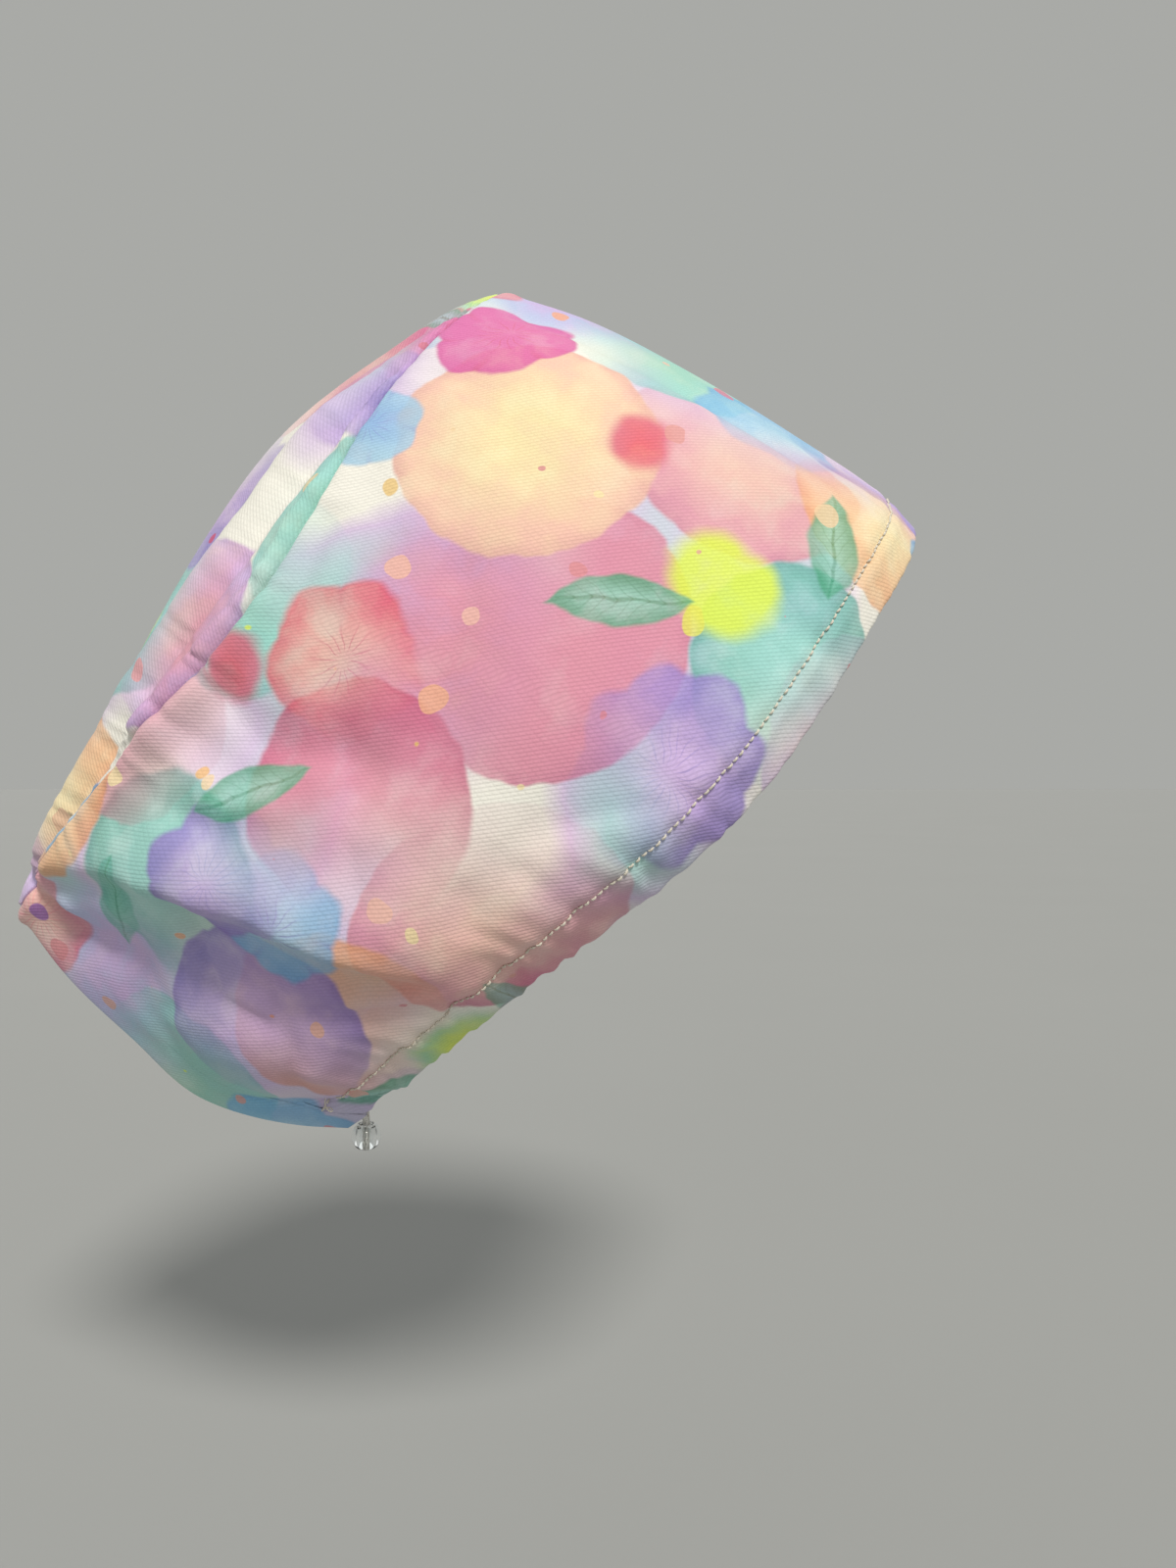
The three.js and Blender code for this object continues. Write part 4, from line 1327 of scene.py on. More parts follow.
    def specks(self, ink: Shader, under: Socket, here: Socket) -> Socket:
        """Scatters small drops of ink.

        Args:
            ink: the material.
            under: the colour so far.
            here: the place on the cloth.

        Returns:
            The new colour.
        """
        colour = under
        for spread, reach, inks in (
            (27 * MM, 0.17, (Dye.APRICOT, Dye.PEACH, Dye.ROSE, Dye.CREAM)),
            (52 * MM, 0.075, (Dye.ROYAL, Dye.DEEP_ROSE, Dye.APRICOT, Dye.LIME)),
        ):
            cells = ink.node("ShaderNodeTexVoronoi", {"voronoi_dimensions": "2D"},
                             {"Vector": here, "Scale": 1 / spread, "Randomness": 0.85})
            chance = ink.node("ShaderNodeSeparateColor", None, {0: cells.part("Color")})
            stops = tuple((i / len(inks), dye.colour()) for i, dye in enumerate(inks))
            drop = ink.node("ShaderNodeValToRGB", {"stops": stops}, {"Fac": chance.part("Green")})
            size = chance.ease(0.45, 1.0, 0.0, reach)
            cover = (size - cells).ease(0.0, 0.012) * 0.8
            colour = ink.mix(cover, colour, drop)
        return colour


def deeper(colour: Colour) -> Colour:
    """The colour where ink has pooled."""
    return (colour[0] * 0.78, colour[1] * 0.7, colour[2] * 0.8, 1.0)


# Other finishes


@dataclass(frozen=True)
class CottonThread:
    """Cream sewing thread of two twisted plies."""

    twist: float = 0.9 * MM
    ply_height: float = 0.06 * MM

    def material(self) -> bpy.types.Material:
        """Builds the material.

        Returns:
            The material.
        """
        ink = Shader("cotton_thread")
        place = ink.attribute("cloth")
        along = ink.node("ShaderNodeSeparateXYZ", None, {0: place})
        plies = ((along / self.twist + along.part("Y") * 2.0) * FULL_TURN).cos().ease(-1, 1)
        # painted shade: the darker cream stands where the thread dips between its plies
        colour = ink.mix(plies, tint("CFC7B4"), tint("F4EFE2"))
        colour = ink.mix(ink.noise(place, 6 * MM) * 0.35, colour, tint("E2D8C4"))
        bump = ink.node("ShaderNodeBump", None, {"Height": plies * self.ply_height, "Distance": 1.0})
        return ink.finish(Base_Color=colour, Roughness=plies.ease(0, 1, 0.75, 0.6), Normal=bump,
                          Sheen_Weight=0.3)


@dataclass(frozen=True)
class BraidedElastic:
    """Round braided elastic, off white."""

    strands: int = 6
    pitch: float = 2.2 * MM
    strand_height: float = 0.12 * MM

    def material(self) -> bpy.types.Material:
        """Builds the material.

        Returns:
            The material.
        """
        ink = Shader("braided_elastic")
        along = ink.node("ShaderNodeSeparateXYZ", None, {0: ink.attribute("cloth")})
        run = along / self.pitch
        turn = along.part("Y") * self.strands
        left = ((run + turn) * FULL_TURN).cos()
        right = ((run - turn) * FULL_TURN).cos()
        weave = left.maths("MAXIMUM", left, right).ease(-0.6, 1)
        # painted shade: the greyer off-white stands in the grooves between the strands
        colour = ink.mix(weave, tint("C9C6BE"), tint("F2F0EA"))
        bump = ink.node("ShaderNodeBump", None, {"Height": weave * self.strand_height, "Distance": 1.0})
        return ink.finish(Base_Color=colour, Roughness=weave.ease(0, 1, 0.7, 0.5), Normal=bump,
                          Sheen_Weight=0.15)


@dataclass(frozen=True)
class ClearPlastic:
    """Moulded clear plastic with faint flow lines and handling marks."""

    index: float = 1.49
    flow_height: float = 0.12 * MM

    def material(self) -> bpy.types.Material:
        """Builds the material.

        Returns:
            The material.
        """
        ink = Shader("clear_plastic")
        place = ink.node("ShaderNodeNewGeometry", output="Position")
        marks = ink.noise(place, 1.6 * MM, 4.0)
        flow = ink.noise(place, 4 * MM, 1.0)
        colour = ink.mix(flow, tint("F4F8F8"), tint("FDFEFE"))
        bump = ink.node("ShaderNodeBump", None, {"Height": flow * self.flow_height, "Distance": 1.0})
        return ink.finish(Base_Color=colour, Roughness=marks.ease(0.45, 0.75, 0.03, 0.12), Normal=bump,
                          Transmission_Weight=1.0, IOR=self.index)


@dataclass(frozen=True)
class PaleFloor:
    """A matt pale floor."""

    def material(self) -> bpy.types.Material:
        """Builds the material.

        Returns:
            The material.
        """
        ink = Shader("pale_floor")
        mottle = ink.noise(ink.node("ShaderNodeNewGeometry", output="Position"), 0.4, 3.0)
        colour = ink.mix(mottle, tint("9A9C9B"), tint("9D9F9E"))
        return ink.finish(Base_Color=colour, Roughness=0.9)


# Pieces


def graded(count: int, ends: float) -> Array:
    """Places from 0 to 1 that crowd at both ends: ends is 0 for even ones and nears 1 for crowded ones."""
    even = np.linspace(0, 1, count)
    return even - ends * np.sin(FULL_TURN * even) / FULL_TURN


def with_place(places: Array, *extra: float) -> Array:
    """Places with some more put among them.

    Args:
        places: the places.
        *extra: the ones to add, each in the stead of those that stand too close to it.

    Returns:
        All places in order.
    """
    gap = 0.45 / len(places)
    kept = [p for p in places if p in (0, 1) or min(abs(p - e) for e in extra) > gap]
    return np.array(sorted([*kept, *extra]))


@dataclass
class Band:
    """The wall of the cap: one strip of cloth from stitch line to crown seam, with a tab at the nape."""

    form: CapForm
    flat: FlatCloth
    columns: int = 290
    crowding: float = 0.4
    rows: int = 60
    turned_allowance: float = 15 * MM
    lip_rows: tuple[float, ...] = (0.0, 0.0012, 0.0035, 0.0066, 0.0105, 0.0155, 0.021)
    body: str = "root"

    def stations(self) -> Array:
        """Places round the whole cap, from the centre back along the wearer's right.

        Returns:
            Places from -1 up to the last before 1.
        """
        form = self.form
        gap = form.sizes.seam_gap / form.half_round
        tab = form.mouth + gap
        half = with_place(graded(self.columns, self.crowding), form.mouth, tab, tab + gap)
        return np.concatenate([-half[:0:-1], half[:-1]])

    def build(self) -> bpy.types.Object:
        """Builds the band, its outer face and the inner one under it.

        Returns:
            The piece.
        """
        form = self.form
        tab = form.mouth + form.sizes.seam_gap / form.half_round
        stations = self.stations()
        around = np.concatenate([stations, [1.0]])
        lips = np.array(self.lip_rows)
        rows = np.concatenate([lips, np.linspace(0.03, 0.97, self.rows), 1 - lips[::-1]])
        foot = np.where(np.abs(around) > tab + 1e-9, 0, STITCH_UP)[:, None]
        up = foot + (1 - foot) * rows[None]
        round_ = np.repeat(around[:, None], len(rows), 1)
        outer = form.surface(round_, up, drape=True)
        looped = np.concatenate([outer[-2:-1], outer])
        ahead = np.gradient(looped, axis=0)[1:]
        ahead[-1] = ahead[0]
        normal = np.cross(ahead, np.gradient(outer, axis=1))
        normal /= np.linalg.norm(normal, axis=-1, keepdims=True)
        inner = outer - normal * form.sizes.cloth
        points = np.concatenate([outer, inner[:, ::-1]], axis=1)[:-1]
        cloth = self.flat.at(round_, up)
        cloth = np.concatenate([cloth, cloth[:, ::-1]], axis=1)
        side = np.concatenate([np.zeros_like(up), np.ones_like(up)], axis=1)
        mesh = Skin(form.to_world(points), cloth, side, closed=True).mesh("band_cloth")
        return add_object("band_cloth", mesh)

    def dress(self, piece: bpy.types.Object, finish: bpy.types.Material) -> None:
        """Finishes the band and hides the model's band.

        Args:
            piece: the piece.
            finish: its material.
        """
        piece.data.materials.append(finish)
        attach(piece, self.body)
        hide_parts("band")
        strip = (2 * self.form.half_round, self.form.wall_rise + self.turned_allowance)
        area = min(surface_area(piece.data) / 2, strip[0] * strip[1])


@dataclass
class Crown:
    """The top of the cap: an oval of cloth that rises from its seam to a soft ridge."""

    form: CapForm
    columns: int = 300
    rows: int = 30
    crowding: float = 0.45
    tip: float = 0.008
    first_shares: tuple[float, ...] = (0, 0.008, 0.02, 0.04, 0.07)
    foot_out: float = 0.85
    turned_in: float = 2.2 * MM
    turned_share: float = 0.022
    turned_down: float = 0.5
    turned_room: tuple[float, float] = (2 * MM, 12 * MM)
    tip_fade: tuple[float, float] = (4 * MM, 30 * MM)
    edge_fade: float = 0.05
    side_rise: float = 0.45
    ridge_dip: float = 1.2 * MM
    ruffle: Ruffle = Ruffle(pitch=10.2 * MM, depth=0.42 * MM, fade=9 * MM, phase=4.4)
    seam_gathered: Growth = Growth(low=0.4, starts=0.2, ends=0.5)
    print_offset: tuple[float, float] = (0.06, 0.235)
    oval: tuple[float, float] = (0.13, 0.32)
    body: str = "root"

    def ridge_height(self, u: Array) -> Array:
        """The ridge's height above the hem at places along the cap."""
        ridge = np.array(RIDGE) * (self.form.sizes.half_length, self.form.sizes.height)
        return through(-ridge[:, 0], ridge[:, 1], -u)

    def build(self) -> bpy.types.Object:
        """Builds the crown over the band's top edge.

        Returns:
            The piece.
        """
        form, s = self.form, self.form.sizes
        half = self.tip + (1 - 2 * self.tip) * graded(self.columns, self.crowding)
        seam = np.ones_like(half)
        middle = sum(form.surface(side * half, seam, smooth=True)[:, 0] for side in (-1, 1)) / 2
        top = self.ridge_height(middle) + s.seam_gap
        share = np.concatenate([self.first_shares, np.linspace(0.1, 1, self.rows)])
        sides = []
        for side in (-1, 1):
            edge = form.surface(side * half, seam)
            foot = edge + (0, side * s.lip_radius * self.foot_out, s.seam_gap)
            foot[:, 1] = np.where(np.abs(edge[:, 1]) > s.lip_radius, foot[:, 1], edge[:, 1])
            sides.append(self.arch(foot, top, share))
        grid = self.tuck(np.concatenate([sides[0], sides[1][:, -2::-1]], axis=1), share)
        normal = np.cross(np.gradient(grid, axis=0), np.gradient(grid, axis=1))
        normal /= np.linalg.norm(normal, axis=-1, keepdims=True)
        if normal[len(half) // 2, len(share) - 1, 2] < 0:
            normal = -normal
        grid = grid + normal * self.relief(half, share)[..., None]
        inner = grid - normal * s.cloth
        points = np.concatenate([grid, inner[:, ::-1]], axis=1)
        cloth = self.cloth_places(grid)
        cloth = np.concatenate([cloth, cloth[:, ::-1]], axis=1)
        side = np.concatenate([np.zeros(grid.shape[:2]), np.ones(grid.shape[:2])], axis=1)
        return add_object("crown_cloth", Skin(form.to_world(points), cloth, side).mesh("crown_cloth"))

    def arch(self, foot: Array, top: Array, share: Array) -> Array:
        """One side of the crown, from its foot to the ridge.

        Args:
            foot: the points of its foot along the seam.
            top: the ridge's height over each.
            share: shares of the way from foot to ridge.

        Returns:
            A grid of points, a row for each point of the foot.
        """
        part = share[None, :, None]
        rise = top - foot[:, 2]
        shoulder = np.stack([foot[:, 0], foot[:, 1] * SHOULDER_ACROSS, foot[:, 2] + rise * SHOULDER_RISE], -1)
        ridge = np.stack([foot[:, 0], np.zeros_like(top), top], -1)
        return ((1 - part) ** 2 * foot[:, None] + 2 * part * (1 - part) * shoulder[:, None]
                + part**2 * ridge[:, None])

    def tuck(self, grid: Array, share: Array) -> Array:
        """Turns the crown's two edges in, behind the lip of the band.

        Args:
            grid: the crown's points, from its near edge over the ridge to the far one.
            share: shares of the way from an edge to the ridge.

        Returns:
            The moved points.
        """
        turned = grid.copy()
        depth = np.exp(-((share / self.turned_share) ** 2)) * self.turned_in
        inward = np.concatenate([depth, depth[-2::-1]])[None, :]
        width = np.abs(grid[:, :1, 1])
        room = smoothstep(width, *self.turned_room)
        turned[..., 1] -= np.sign(grid[..., 1]) * inward * room
        turned[..., 2] -= self.turned_down * inward * room
        return turned

    def relief(self, half: Array, share: Array) -> Array:
        """The crown's tucks and the puckers at its seam.

        Args:
            half: places along the crown, from 0 at its front tip to 1 at its back tip.
            share: shares of the way from an edge to the ridge.

        Returns:
            Metres out of the cloth for each point of the grid.
        """
        form = self.form
        across = np.concatenate([share, share[-2::-1]])
        far = np.concatenate([np.zeros(len(share), bool), np.ones(len(share) - 1, bool)])
        around, up = np.meshgrid(half, across, indexing="ij")
        far = np.broadcast_to(far, around.shape).ravel()
        around, up = around.ravel(), up.ravel()
        total = np.zeros_like(around)
        for fold in CROWN_TUCKS:
            shown = np.where(far, fold.far, fold.near)
            total += shown * form.fold_section(fold, around * form.half_round, up * form.wall_rise)
        run = around * form.half_round * np.where(far, 1, -1)
        away = up * form.wall_rise * self.side_rise
        total += self.ruffle.height(run, away) * self.seam_gathered.at(around)
        clear = smoothstep(np.minimum(around, 1 - around) * form.half_round, *self.tip_fade)
        at_seam = smoothstep(up, 0.0, self.edge_fade)
        soft_ridge = -self.ridge_dip * np.exp(-(((1 - up) / self.edge_fade) ** 2))
        total = (total * at_seam + soft_ridge) * clear
        return total.reshape(len(half), len(across))

    def cloth_places(self, grid: Array) -> Array:
        """Each point's place on the flat crown.

        Args:
            grid: the crown's points.

        Returns:
            Metres along the crown and across it.
        """
        middle = grid.shape[1] // 2
        along = lengths_along(grid[:, middle])
        steps = np.linalg.norm(np.diff(grid, axis=1), axis=-1)
        across = np.concatenate([np.zeros((len(grid), 1)), np.cumsum(steps, axis=1)], axis=1)
        across -= across[:, middle:middle + 1]
        flat = np.stack([np.repeat(along[:, None], grid.shape[1], 1), across], -1)
        return flat + self.print_offset

    def dress(self, piece: bpy.types.Object, finish: bpy.types.Material) -> None:
        """Finishes the crown and hides the model's crown.

        Args:
            piece: the piece.
            finish: its material.
        """
        piece.data.materials.append(finish)
        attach(piece, self.body)
        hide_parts("crown")
        area = min(surface_area(piece.data) / 2, self.oval[0] * self.oval[1])


@dataclass
class HemCasing:
    """The hem turned up inside and stitched, with a tunnel for the drawcord that opens at two mouths."""

    form: CapForm
    flat: FlatCloth
    band: Band
    corner: float = 1.1 * MM
    stitched_corner: float = 0.35 * MM
    widest_round: float = 0.45
    corner_steps: int = 4
    turned_print: float = 20 * MM
    body: str = "root"

    @property
    def depth(self) -> float:
        """Both layers of the casing with the cord between them."""
        s = self.form.sizes
        return 2 * s.casing_layer + s.cord_diameter + 2 * s.cord_clearance

    @property
    def cord_down(self) -> float:
        """How far the cord lies under the stitch line."""
        s = self.form.sizes
        return s.casing_width - s.casing_layer - 2.5 * s.cord_clearance - s.cord_diameter / 2

    def sections(self) -> tuple[Array, Array]:
        """The casing's outer section and that of its tunnel, with rounded corners.

        Returns:
            Both closed outlines, each point (down, in).
        """
        s = self.form.sizes
        foot, bend, layer = s.casing_width, self.depth / 4, s.casing_layer
        room_top = self.cord_down - 2 * s.cord_diameter
        outer = [
            (0, 0), (room_top / 2, 0), (room_top, 0), (foot - bend, 0), (foot, bend),
            (foot, self.depth - bend), (foot - bend, self.depth), (room_top + layer, self.depth),
            (0, s.casing_stitched),
        ]
        room = [
            (room_top - layer, layer), (room_top, layer), (room_top + layer, layer), (foot - bend, layer),
            (foot - layer, bend + layer / 2),
            (foot - layer, self.depth - bend - layer / 2),
            (foot - bend, self.depth - layer), (room_top + layer, self.depth - layer),
            (room_top - layer, layer + s.cord_clearance),
        ]
        outline = self.rounded(np.array(outer), self.stitched_corner)
        return outline, self.rounded(np.array(room), self.corner)

    def rounded(self, outline: Array, first: float) -> Array:
        """Rounds each corner of a closed outline.

        Args:
            outline: its corners.
            first: how far the first corner's rounding reaches.

        Returns:
            The rounded outline.
        """
        before, after = np.roll(outline, 1, axis=0) - outline, np.roll(outline, -1, axis=0) - outline
        rounded = []
        reaches = [first] + [self.corner] * (len(outline) - 1)
        for corner, back, on, reach in zip(outline, before, after, reaches):
            start = corner + back * min(self.widest_round, reach / np.hypot(*back))
            end = corner + on * min(self.widest_round, reach / np.hypot(*on))
            for part in np.linspace(0, 1, self.corner_steps):
                rounded.append((1 - part) ** 2 * start + 2 * part * (1 - part) * corner + part**2 * end)
        return np.array(rounded)

    def build(self) -> bpy.types.Object:
        """Builds the casing from mouth to mouth.

        Returns:
            The piece.
        """
        form, s = self.form, self.form.sizes
        stations = self.band.stations()
        stations = stations[np.abs(stations) <= form.mouth + 1e-9]
        rings = []
        for section in self.sections():
            round_, down = np.meshgrid(stations, section[:, 0], indexing="ij")
            up = STITCH_UP * (1 - down / s.casing_width)
            inward = np.broadcast_to(section[:, 1], up.shape)
            rings.append(form.inside(round_, up, inward))
        outer, room = rings
        ring = np.concatenate([outer, room[::-1], outer[:1]])
        size = len(stations)
        section = self.sections()[0]
        round_, down = np.meshgrid(stations, section[:, 0], indexing="ij")
        cloth = self.flat.at(round_, STITCH_UP * (1 - down / s.casing_width))
        turned = np.broadcast_to(np.where(section[:, 1] > self.depth / 2, -self.turned_print, 0), down.shape)
        cloth = cloth + np.stack([np.zeros_like(turned), turned], -1)
        cloth = np.concatenate([cloth, cloth[::-1], cloth[:1]])
        side = np.concatenate([np.zeros((size, len(section))), np.ones((size + 1, len(section)))])
        mesh = Skin(form.to_world(ring[:-1]), cloth, side, closed=True).mesh("hem_casing_cloth")
        return add_object("hem_casing_cloth", mesh)

    def dress(self, piece: bpy.types.Object, finish: bpy.types.Material) -> None:
        """Finishes the casing and hides the model's casing.

        Args:
            piece: the piece.
            finish: its material.
        """
        piece.data.materials.append(finish)
        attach(piece, self.body)
        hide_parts("hem_casing")


@dataclass
class Stitching:
    """The row of lock stitches that closes the casing, and the loose thread at its end.

    swell gives a stitch's thickness, as a share of the thread's, from one end of it, -1, to the other, 1.
    """

    form: CapForm
    pitch: float = 2.45 * MM
    length: float = 2.0 * MM
    radius: float = 0.34 * MM
    arch: float = 0.5 * MM
    swell: tuple[tuple[float, float], ...] = (
        (-1.0, 0.35), (-0.72, 0.85), (-0.36, 1.0), (0.0, 1.0), (0.36, 1.0), (0.72, 0.85), (1.0, 0.35),
    )
    stray: float = 0.05 * MM
    stretch: tuple[float, float] = (0.92, 1.06)
    lean: float = 0.09 * MM
    line_steps: int = 1600
    tail_steps: int = 40
    tail_length: float = 12 * MM
    tail_run: tuple[float, float] = (9 * MM, 3.5 * MM)
    tail_curl: tuple[float, float] = (1.6 * MM, 1.8 * MM)
    tail_winding: float = 9.0
    tail_off: float = 1.2 * MM
    tail_bulge: float = 3.2 * MM
    sides: int = 6
    seed: int = 11
    body: str = "root"

    def build(self) -> bpy.types.Object:
        """Builds all stitches as one mesh.

        Returns:
            The piece.
        """
        form = self.form
        chance = np.random.default_rng(self.seed)
        line_places = np.linspace(-form.mouth, form.mouth, self.line_steps)
        line = form.surface(line_places, np.full_like(line_places, STITCH_UP))
        walked = lengths_along(line)
        count = int(walked[-1] / self.pitch)
        parts, bulk = np.array(self.swell).T
        middle = (np.arange(count) + 0.5) * self.pitch + chance.normal(0, self.stray, count)
        reach = self.length / 2 * chance.uniform(*self.stretch, count)
        lean = chance.normal(0, self.lean, count)
        run = middle[:, None] + parts * reach[:, None]
        places = np.interp(run, walked, line_places)
        up = STITCH_UP + parts * lean[:, None] / form.wall_rise
        lift = np.broadcast_to(self.arch * (1 - parts**2), run.shape)
        paths = form.inside(places, up, -lift)
        angle = np.arange(self.sides) / self.sides
        points, quads, cloth = [], [], []
        for k in range(count):
            rings = tube_rings(paths[k], self.radius * bulk, self.sides)
            points.append(rings.reshape(-1, 3))
            quads.append(self.tube_quads(len(parts)) + len(points[0]) * k)
            cloth.append(np.stack(np.meshgrid(run[k], angle, indexing="ij"), -1).reshape(-1, 2))
        self.add_tail(points, quads, cloth, line[0])
        points, quads, cloth = np.concatenate(points), np.concatenate(quads), np.concatenate(cloth)
        points = form.to_world(points)
        mesh = build_mesh("stitching", points, quads, cloth[quads.ravel()], np.zeros(quads.size))
        return add_object("stitching", mesh)

    def tube_quads(self, rings: int) -> Array:
        """The faces of a short tube with closed ends.

        Args:
            rings: how many rings the tube has.

        Returns:
            Four of the tube's points for each face.
        """
        i, j = np.meshgrid(np.arange(rings - 1), np.arange(self.sides), indexing="ij")
        k = (j + 1) % self.sides
        walls = np.stack([i * self.sides + j, i * self.sides + k, (i + 1) * self.sides + k,
                          (i + 1) * self.sides + j], -1).reshape(-1, 4)
        a = np.arange(self.sides // 2 - 1)
        near = np.stack([a, self.sides - 1 - a, self.sides - 2 - a, a + 1], -1)
        return np.concatenate([walls, near, near[:, ::-1] + (rings - 1) * self.sides])

    def add_tail(self, points: list, quads: list, cloth: list, start: Array) -> None:
        """Adds the thread's loose end, a curl that stands off the cloth by the near mouth.

        Args:
            points: the points of each stitch so far.
            quads: the faces of each.
            cloth: the place along and round the thread of each point.
            start: where the seam starts.
        """
        turn = np.linspace(0, 1, self.tail_steps)
        winding = turn * self.tail_winding
        curl = np.stack([
            start[0] + self.tail_run[0] * turn + self.tail_curl[0] * np.sin(winding),
            start[1] - self.tail_off - self.tail_bulge * np.sin(turn * 3.0),
            start[2] + self.tail_run[1] * turn + self.tail_curl[1] * (np.cos(winding) - 1),
        ], -1)
        first = sum(len(p) for p in points)
        rings = tube_rings(curl, np.full(len(turn), 0.7 * self.radius), self.sides)
        points.append(rings.reshape(-1, 3))
        quads.append(self.tube_quads(len(turn)) + first)
        angle = np.arange(self.sides) / self.sides
        run = turn * self.tail_length
        cloth.append(np.stack(np.meshgrid(run, angle, indexing="ij"), -1).reshape(-1, 2))

    def dress(self, piece: bpy.types.Object, finish: bpy.types.Material) -> None:
        """Finishes the stitches.

        Args:
            piece: the piece.
            finish: its material.
        """
        piece.data.materials.append(finish)
        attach(piece, self.body)


@dataclass
class Drawcord:
    """The elastic cord in the casing, with both ends in the bead."""

    form: CapForm
    casing: HemCasing
    columns: int = 150
    tail_steps: int = 22
    bore_steps: int = 8
    sides: int = 16
    bead_lip: float = 1 * MM
    body: str = "root"

    def line(self) -> Array:
        """The cord's middle line.

        Returns:
            Points from one end through the casing to the other.
        """
        form, s = self.form, self.form.sizes
        places = np.linspace(-form.mouth, form.mouth, 2 * self.columns + 1)
        up = np.full_like(places, STITCH_UP * (1 - self.casing.cord_down / s.casing_width))
        inside = form.inside(places, up, np.full_like(places, self.casing.depth / 2))
        tilt = math.radians(s.hem_tilt)
        down = np.array([-math.sin(tilt), 0, -math.cos(tilt)])
        x, _, z = bead_middle()
        ahead = np.array([math.cos(tilt), 0, -math.sin(tilt)])
        bead = x * ahead - z * down
        apart = np.array([0, -(s.cord_diameter + s.cord_clearance) / 2, 0])
        top = bead - down * (s.bead_diameter / 2 + s.cord_clearance) + apart
        end = bead + down * (s.bead_diameter / 2 - self.bead_lip) + apart
        leaving = inside[0] - inside[1]
        leaving *= s.casing_width / 2 / np.linalg.norm(leaving)
        t = np.linspace(0, 1, self.tail_steps + 1)[1:, None]
        tail = ((2 * t**3 - 3 * t**2 + 1) * inside[0] + (t**3 - 2 * t**2 + t) * leaving
                + (3 * t**2 - 2 * t**3) * top + (t**3 - t**2) * down * s.casing_width / 2)
        straight = top + (end - top) * np.linspace(0, 1, self.bore_steps + 1)[1:, None]
        tail = np.concatenate([tail, straight])
        return np.concatenate([tail[::-1], inside, tail * (1, -1, 1)])

    def build(self) -> bpy.types.Object:
        """Builds the cord.

        Returns:
            The piece.
        """
        line = self.line()
        radii = np.full(len(line), self.form.sizes.cord_diameter / 2)
        rings = self.form.to_world(tube_rings(line, radii, self.sides))
        run = np.repeat(lengths_along(line)[:, None], self.sides, 1)
        angle = np.broadcast_to(np.arange(self.sides) / self.sides, run.shape)
        skin = Skin(rings, np.stack([run, angle], -1), np.zeros(run.shape))
        return add_object("elastic_cord", skin.mesh("elastic_cord"))

    def dress(self, piece: bpy.types.Object, finish: bpy.types.Material) -> None:
        """Finishes the cord and hides the model's drawcord.

        Args:
            piece: the piece.
            finish: its material.
        """
        piece.data.materials.append(finish)
        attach(piece, self.body)
        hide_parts("drawcord")


def bead_middle() -> Array:
    """The middle of the bead in the scene."""
    low, high = (np.array(corner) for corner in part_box("cord_bead"))
    return (low + high) / 2


@dataclass
class CordBead:
    """A clear ball with a bore for both ends of the cord."""

    form: CapForm
    sides: int = 56
    arcs: int = 40
    bore_steps: int = 8
    lip: float = 0.35 * MM
    body: str = "root"

    def build(self) -> bpy.types.Object:
        """Builds the bead, with its bore straight down.

        Returns:
            The piece.
        """
        s = self.form.sizes
        radius = s.bead_diameter / 2
        bore = s.cord_diameter + 1.5 * s.cord_clearance
        edge = math.asin((bore + self.lip) / radius)
        turn = np.linspace(edge, math.pi - edge, self.arcs)
        ball = np.stack([radius * np.sin(turn), -radius * np.cos(turn)], -1)
        half = radius * math.cos(edge) - self.lip
        wall = np.stack([np.full(self.bore_steps, bore), np.linspace(half, -half, self.bore_steps)], -1)
        profile = np.concatenate([ball, wall])
        around = (FULL_TURN * np.arange(self.sides) / self.sides)[:, None]
        rings = np.stack([
            profile[None, :, 0] * np.cos(around),
            profile[None, :, 0] * np.sin(around),
            np.broadcast_to(profile[:, 1], (self.sides, len(profile))),
        ], -1)
        unprinted = np.zeros((self.sides + 1, len(profile), 2))
        skin = Skin(rings + bead_middle(), unprinted, unprinted[..., 0], closed=True)
        return add_object("clear_bead", skin.mesh("clear_bead"))

    def dress(self, piece: bpy.types.Object, finish: bpy.types.Material) -> None:
        """Finishes the bead and hides the model's bead.

        Args:
            piece: the piece.
            finish: its material.
        """
        piece.data.materials.append(finish)
        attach(piece, self.body)
        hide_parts("cord_bead")


# Studio


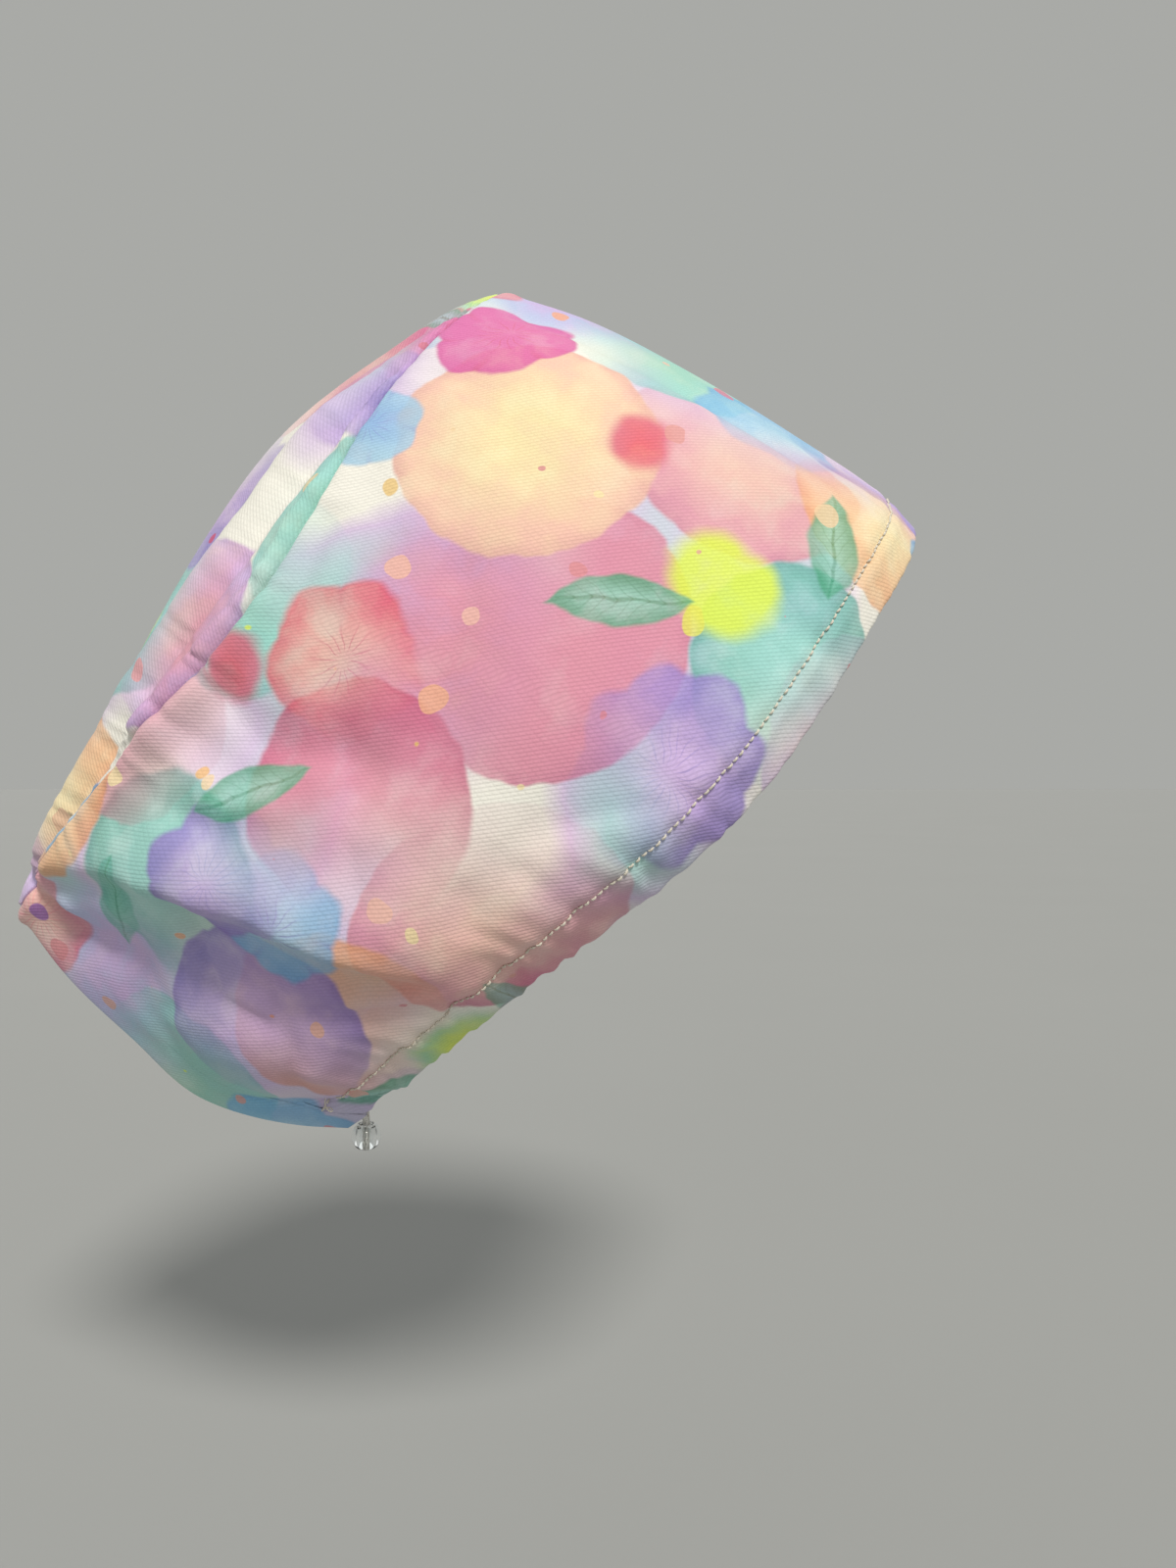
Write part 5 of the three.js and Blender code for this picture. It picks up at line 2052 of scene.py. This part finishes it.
@dataclass
class Studio:
    """Camera, soft lights and floor."""

    camera_at: tuple[float, float, float] = (-0.0192, -0.400, 0.0133)
    focal_length: float = 27.045
    sensor: float = 36.0
    floor_level: float = -0.25
    floor_half: float = 60.0
    world: str = "C9CAC6"
    world_strength: float = 0.68

    def build(self) -> None:
        """Sets everything up."""
        self.add_camera()
        self.add_floor()
        self.add_sun("key_light", (0.3, -0.95, 1.0), 14.0, 2.75, "FFFAF3")
        self.add_sun("fill_light", (-1.0, -0.6, 0.2), 60.0, 0.1, "F0F4FF")
        self.add_sun("rear_light", (-0.3, 1.0, 0.6), 60.0, 0.5, "FFFFFF")
        world = bpy.data.worlds.new("pale_room")
        world.use_nodes = True
        background = world.node_tree.nodes["Background"]
        background.inputs["Color"].default_value = tint(self.world)
        background.inputs["Strength"].default_value = self.world_strength
        bpy.context.scene.world = world
        bpy.context.scene.view_settings.view_transform = "Standard"

    def add_camera(self) -> None:
        """Adds the camera, level and square to the side of the cap."""
        data = bpy.data.cameras.new("camera")
        data.sensor_width = self.sensor
        data.lens = self.focal_length
        data.clip_start = 0.01
        camera = bpy.data.objects.new("camera", data)
        camera.location = self.camera_at
        camera.rotation_euler = (math.pi / 2, 0, 0)
        bpy.context.scene.collection.objects.link(camera)
        bpy.context.scene.camera = camera

    def add_floor(self) -> None:
        """Adds the floor."""
        edge, z = self.floor_half, self.floor_level
        mesh = bpy.data.meshes.new("floor")
        corners = [(-edge, -edge, z), (edge, -edge, z), (edge, edge, z), (-edge, edge, z)]
        mesh.from_pydata(corners, [], [(0, 1, 2, 3)])
        floor = add_object("floor", mesh)
        floor.data.materials.append(PaleFloor().material())

    def add_sun(self, name: str, towards: tuple[float, float, float], spread: float, strength: float,
                colour: str) -> None:
        """Adds a far soft light.

        Args:
            name: its name.
            towards: the direction in which it stands.
            spread: the angle that it covers, in degrees.
            strength: its strength.
            colour: its sRGB hex code.
        """
        data = bpy.data.lights.new(name, "SUN")
        data.angle = math.radians(spread)
        data.energy = strength
        data.color = tint(colour)[:3]
        light = bpy.data.objects.new(name, data)
        light.location = towards
        light.rotation_euler = Vector(towards).to_track_quat("Z", "Y").to_euler()
        bpy.context.scene.collection.objects.link(light)


def main() -> None:
    """Builds the studio and every piece in order, and reports each."""
    logging.basicConfig(level=logging.INFO, format="%(name)s: %(message)s")
    Studio().build()
    form = CapForm()
    flat = FlatCloth(form)
    band = Band(form, flat)
    casing = HemCasing(form, flat, band)
    twill = PrintedTwill().material()
    thread = CottonThread().material()
    parts = (
        (band, twill),
        (Crown(form), twill),
        (casing, twill),
        (Stitching(form), thread),
        (Drawcord(form, casing), BraidedElastic().material()),
        (CordBead(form), ClearPlastic().material()),
    )
    for part, finish in parts:
        piece = part.build()
        part.dress(piece, finish)
        triangles = sum(len(face.vertices) - 2 for face in piece.data.polygons)
        log.info("%s: %d triangles, %.4f square metres", piece.name, triangles, surface_area(piece.data))


if __name__ == "__main__":
    main()
